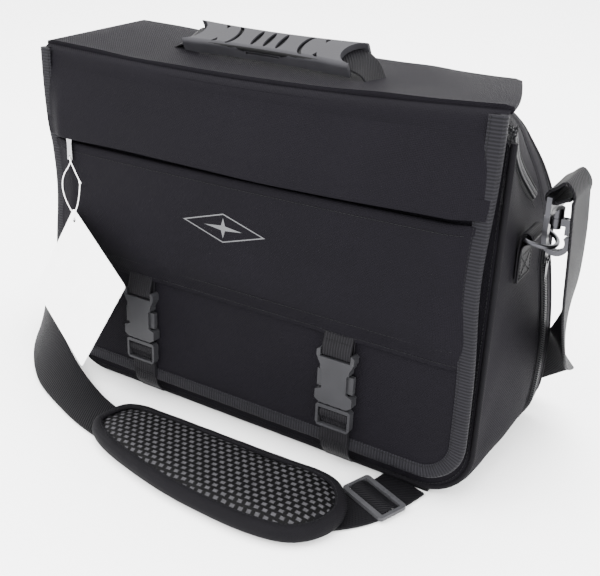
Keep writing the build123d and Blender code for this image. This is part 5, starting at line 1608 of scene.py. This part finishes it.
        closed = np.vstack([self.edge(6.0), self.edge(6.0)[:1]])
        flat = self.rings(closed, 20)
        height = np.array([[over(*p) for p in ring] for ring in flat])
        for _ in range(2):
            height[1:-1] = (height[:-2] + 2 * height[1:-1] + height[2:]) / 4
        bow = 1.2 * (1 - np.linspace(1, 0, 20)[:, None] ** 3)
        face = Cloth()
        face.patch(np.concatenate([flat, (height + 0.5 + bow)[..., None]], -1))
        face.finish("pad_face_weave", [palette.basket], "mesh", "pad", ["pad_face"], sharp=180.0)
        self.bind(palette)
        self.loops(palette)

    def bind(self, palette: Palette) -> None:
        """Binding folded over the pad's rim."""
        ring = self.edge(0.0)
        run = unit(np.roll(ring, -1, 0) - np.roll(ring, 1, 0))
        inward = np.column_stack([-run[:, 1], run[:, 0], ring[:, 0] * 0])
        path = np.column_stack([ring, ring[:, 0] * 0])
        wave = 0.25 * np.sin(np.arange(len(ring)) * 0.9)
        profile = []
        for k in range(len(ring)):
            w = wave[k]
            profile.append([(9.4, 13.6), (9.0, 14.9), (6.6, 15.6 + w), (3.8, 14.9 + w), (1.4, 12.8), (0.4, 9.8), (0.3, 7.2),
                            (1.0, 4.8), (2.8, 3.3), (6.2, 2.9), (8.8, 3.3), (8.6, 4.8), (6.0, 6.5), (6.0, 11.5)])
        cover = Cloth()
        cover.sweep(path, inward, np.broadcast_to(np.array((0.0, 0, 1.0)), path.shape), profile, closed=True)
        seam = path + inward * 7.8
        seam = np.vstack([seam, seam[:1]]) + np.array((0, 0, 15.25))
        cover.stitches(seam, np.array((0.0, 0, 1.0)))
        cover.finish("pad_edge", [palette.piping, palette.thread], "binding", "pad", ["pad_binding"])

    def loops(self, palette: Palette) -> None:
        """Webbing loops under the pad that hold the strap."""
        along = np.array((0.99905, -0.04362, 0.0))
        across = np.array((-0.04362, -0.99905, 0.0))
        piece = Cloth()
        for place in (-60.0, 60.0):
            middle = np.array((14.0, -144.0, 0.0)) + along * place
            section = through([(-21.6, 0.9), (-20.8, 0.45), (0, 0.42), (20.8, 0.45), (21.7, 0.9), (22.0, 1.8), (21.6, 2.8),
                               (20.4, 3.2), (0, 3.25), (-20.4, 3.2), (-21.6, 2.8), (-22.0, 1.8)], 3.0)
            path = middle + across * section[:, :1] + np.array((0, 0, 1.0)) * section[:, 1:2]
            piece.ribbon(path, np.broadcast_to(along, path.shape), 20.0, 0.6, closed=True)
        piece.finish("pad_strap_loops", [palette.webbing], "webbing", "pad", ["pad_loops"])


# ------------------------------------------------------------------ hard pieces
@dataclass
class LeaningGrip:
    """The moulded grip, tipped forward on its webbing as it rests on a soft bag."""

    tip: float = math.radians(24.0)
    lift: float = 2.6
    skew: float = math.radians(-5.0)

    def build(self, palette: Palette) -> None:
        """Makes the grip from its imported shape, turned about its own length."""
        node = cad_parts["handle_grip"]
        mesh = node.data.copy()
        mesh.name = "leaning_grip"
        low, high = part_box("handle_grip")
        centre = (low + high) / 2
        axis = Vector((math.cos(self.skew), math.sin(self.skew), 0.0))
        turn = Matrix.Translation(centre + Vector((0, 0, self.lift * MM))) @ Matrix.Rotation(self.tip, 4, axis) \
            @ Matrix.Translation(-centre)
        flat = np.array([v.co[2] for v in mesh.vertices]) > high.z - 0.0006
        del flat
        # Marks the recess floors, which the grip finish paints near black as painted shade.
        shade = mesh.attributes.new("recess", "FLOAT", "POINT")
        depth = np.array([1.0 if high.z - 0.004 < v.co[2] < high.z - 0.0008 and abs((v.co - centre).dot(
            Vector((-axis.y, axis.x, 0.0)))) < 0.0128 else 0.0 for v in mesh.vertices], np.float32)
        shade.data.foreach_set("value", depth)
        mesh.transform(turn)
        mesh.materials.clear()
        mesh.materials.append(palette.grip)
        mesh.polygons.foreach_set("material_index", [0] * len(mesh.polygons))
        grip = bpy.data.objects.new("leaning_grip", mesh)
        bpy.context.scene.collection.objects.link(grip)
        bevel = grip.modifiers.new("soft_edges", "BEVEL")
        bevel.width, bevel.segments = 0.0005, 2
        bevel.limit_method = "ANGLE"
        bevel.angle_limit = math.radians(38.0)
        mesh.shade_smooth()
        mesh.set_sharp_from_angle(angle=math.radians(38.0))
        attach(grip, "handle")
        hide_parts("handle_grip")
        LOG.info("leaning_grip: %d faces", len(mesh.polygons))


@dataclass
class HardPieces:
    """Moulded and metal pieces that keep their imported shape, with soft edges and their own finishes."""

    edge: float = 0.00035

    def build(self, palette: Palette) -> None:
        """Dresses each piece."""
        wanted = {
            palette.buckle: ["buckle_housings", "plug_left", "plug_right", "prong_left_a", "prong_left_b", "prong_right_a",
                             "prong_right_b"],
            palette.adjuster: ["strap_adjuster"],
            palette.metal: ["snap_hook_right", "snap_hook_left", "hook_gate_right", "hook_gate_left", "swivel_eyes"],
            palette.slider: ["main_zip_slider", "side_zip_slider", "side_zip_puller", "organiser_zip_slider",
                             "flap_zip_slider"],
            palette.bright: ["flap_zip_puller"],
            palette.card: ["hang_tag"],
        }
        for material, names in wanted.items():
            for name in names:
                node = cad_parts[name]
                node.data.materials.clear()
                node.data.materials.append(material)
                node.data.polygons.foreach_set("material_index", [0] * len(node.data.polygons))
                if name != "hang_tag":
                    bevel = node.modifiers.new("soft_edges", "BEVEL")
                    bevel.width = self.edge
                    bevel.segments = 2
                    bevel.limit_method = "ANGLE"
                    bevel.angle_limit = math.radians(38.0)
                    bevel.harden_normals = False
                node.data.shade_smooth()
                node.data.set_sharp_from_angle(angle=math.radians(38.0))
                LOG.info("%s dressed", name)


def main() -> None:
    """Builds the studio and every piece in order."""
    logging.basicConfig(level=logging.INFO, format="%(name)s: %(message)s")
    palette = Palette()
    Studio().build()
    TagString().build(palette)
    shell = BagShell()
    shell.build(palette)
    shell.zips(palette)
    FrontPockets().build(palette)
    FlapTop().build(palette)
    FlapFront().build(palette)
    BuckleWebbing().build(palette)
    SideHardware().build(palette)
    Strap().build(palette)
    ShoulderPad().build(palette)
    LeaningGrip().build(palette)
    HardPieces().build(palette)
    bpy.context.view_layer.update()


if __name__ == "__main__":
    main()
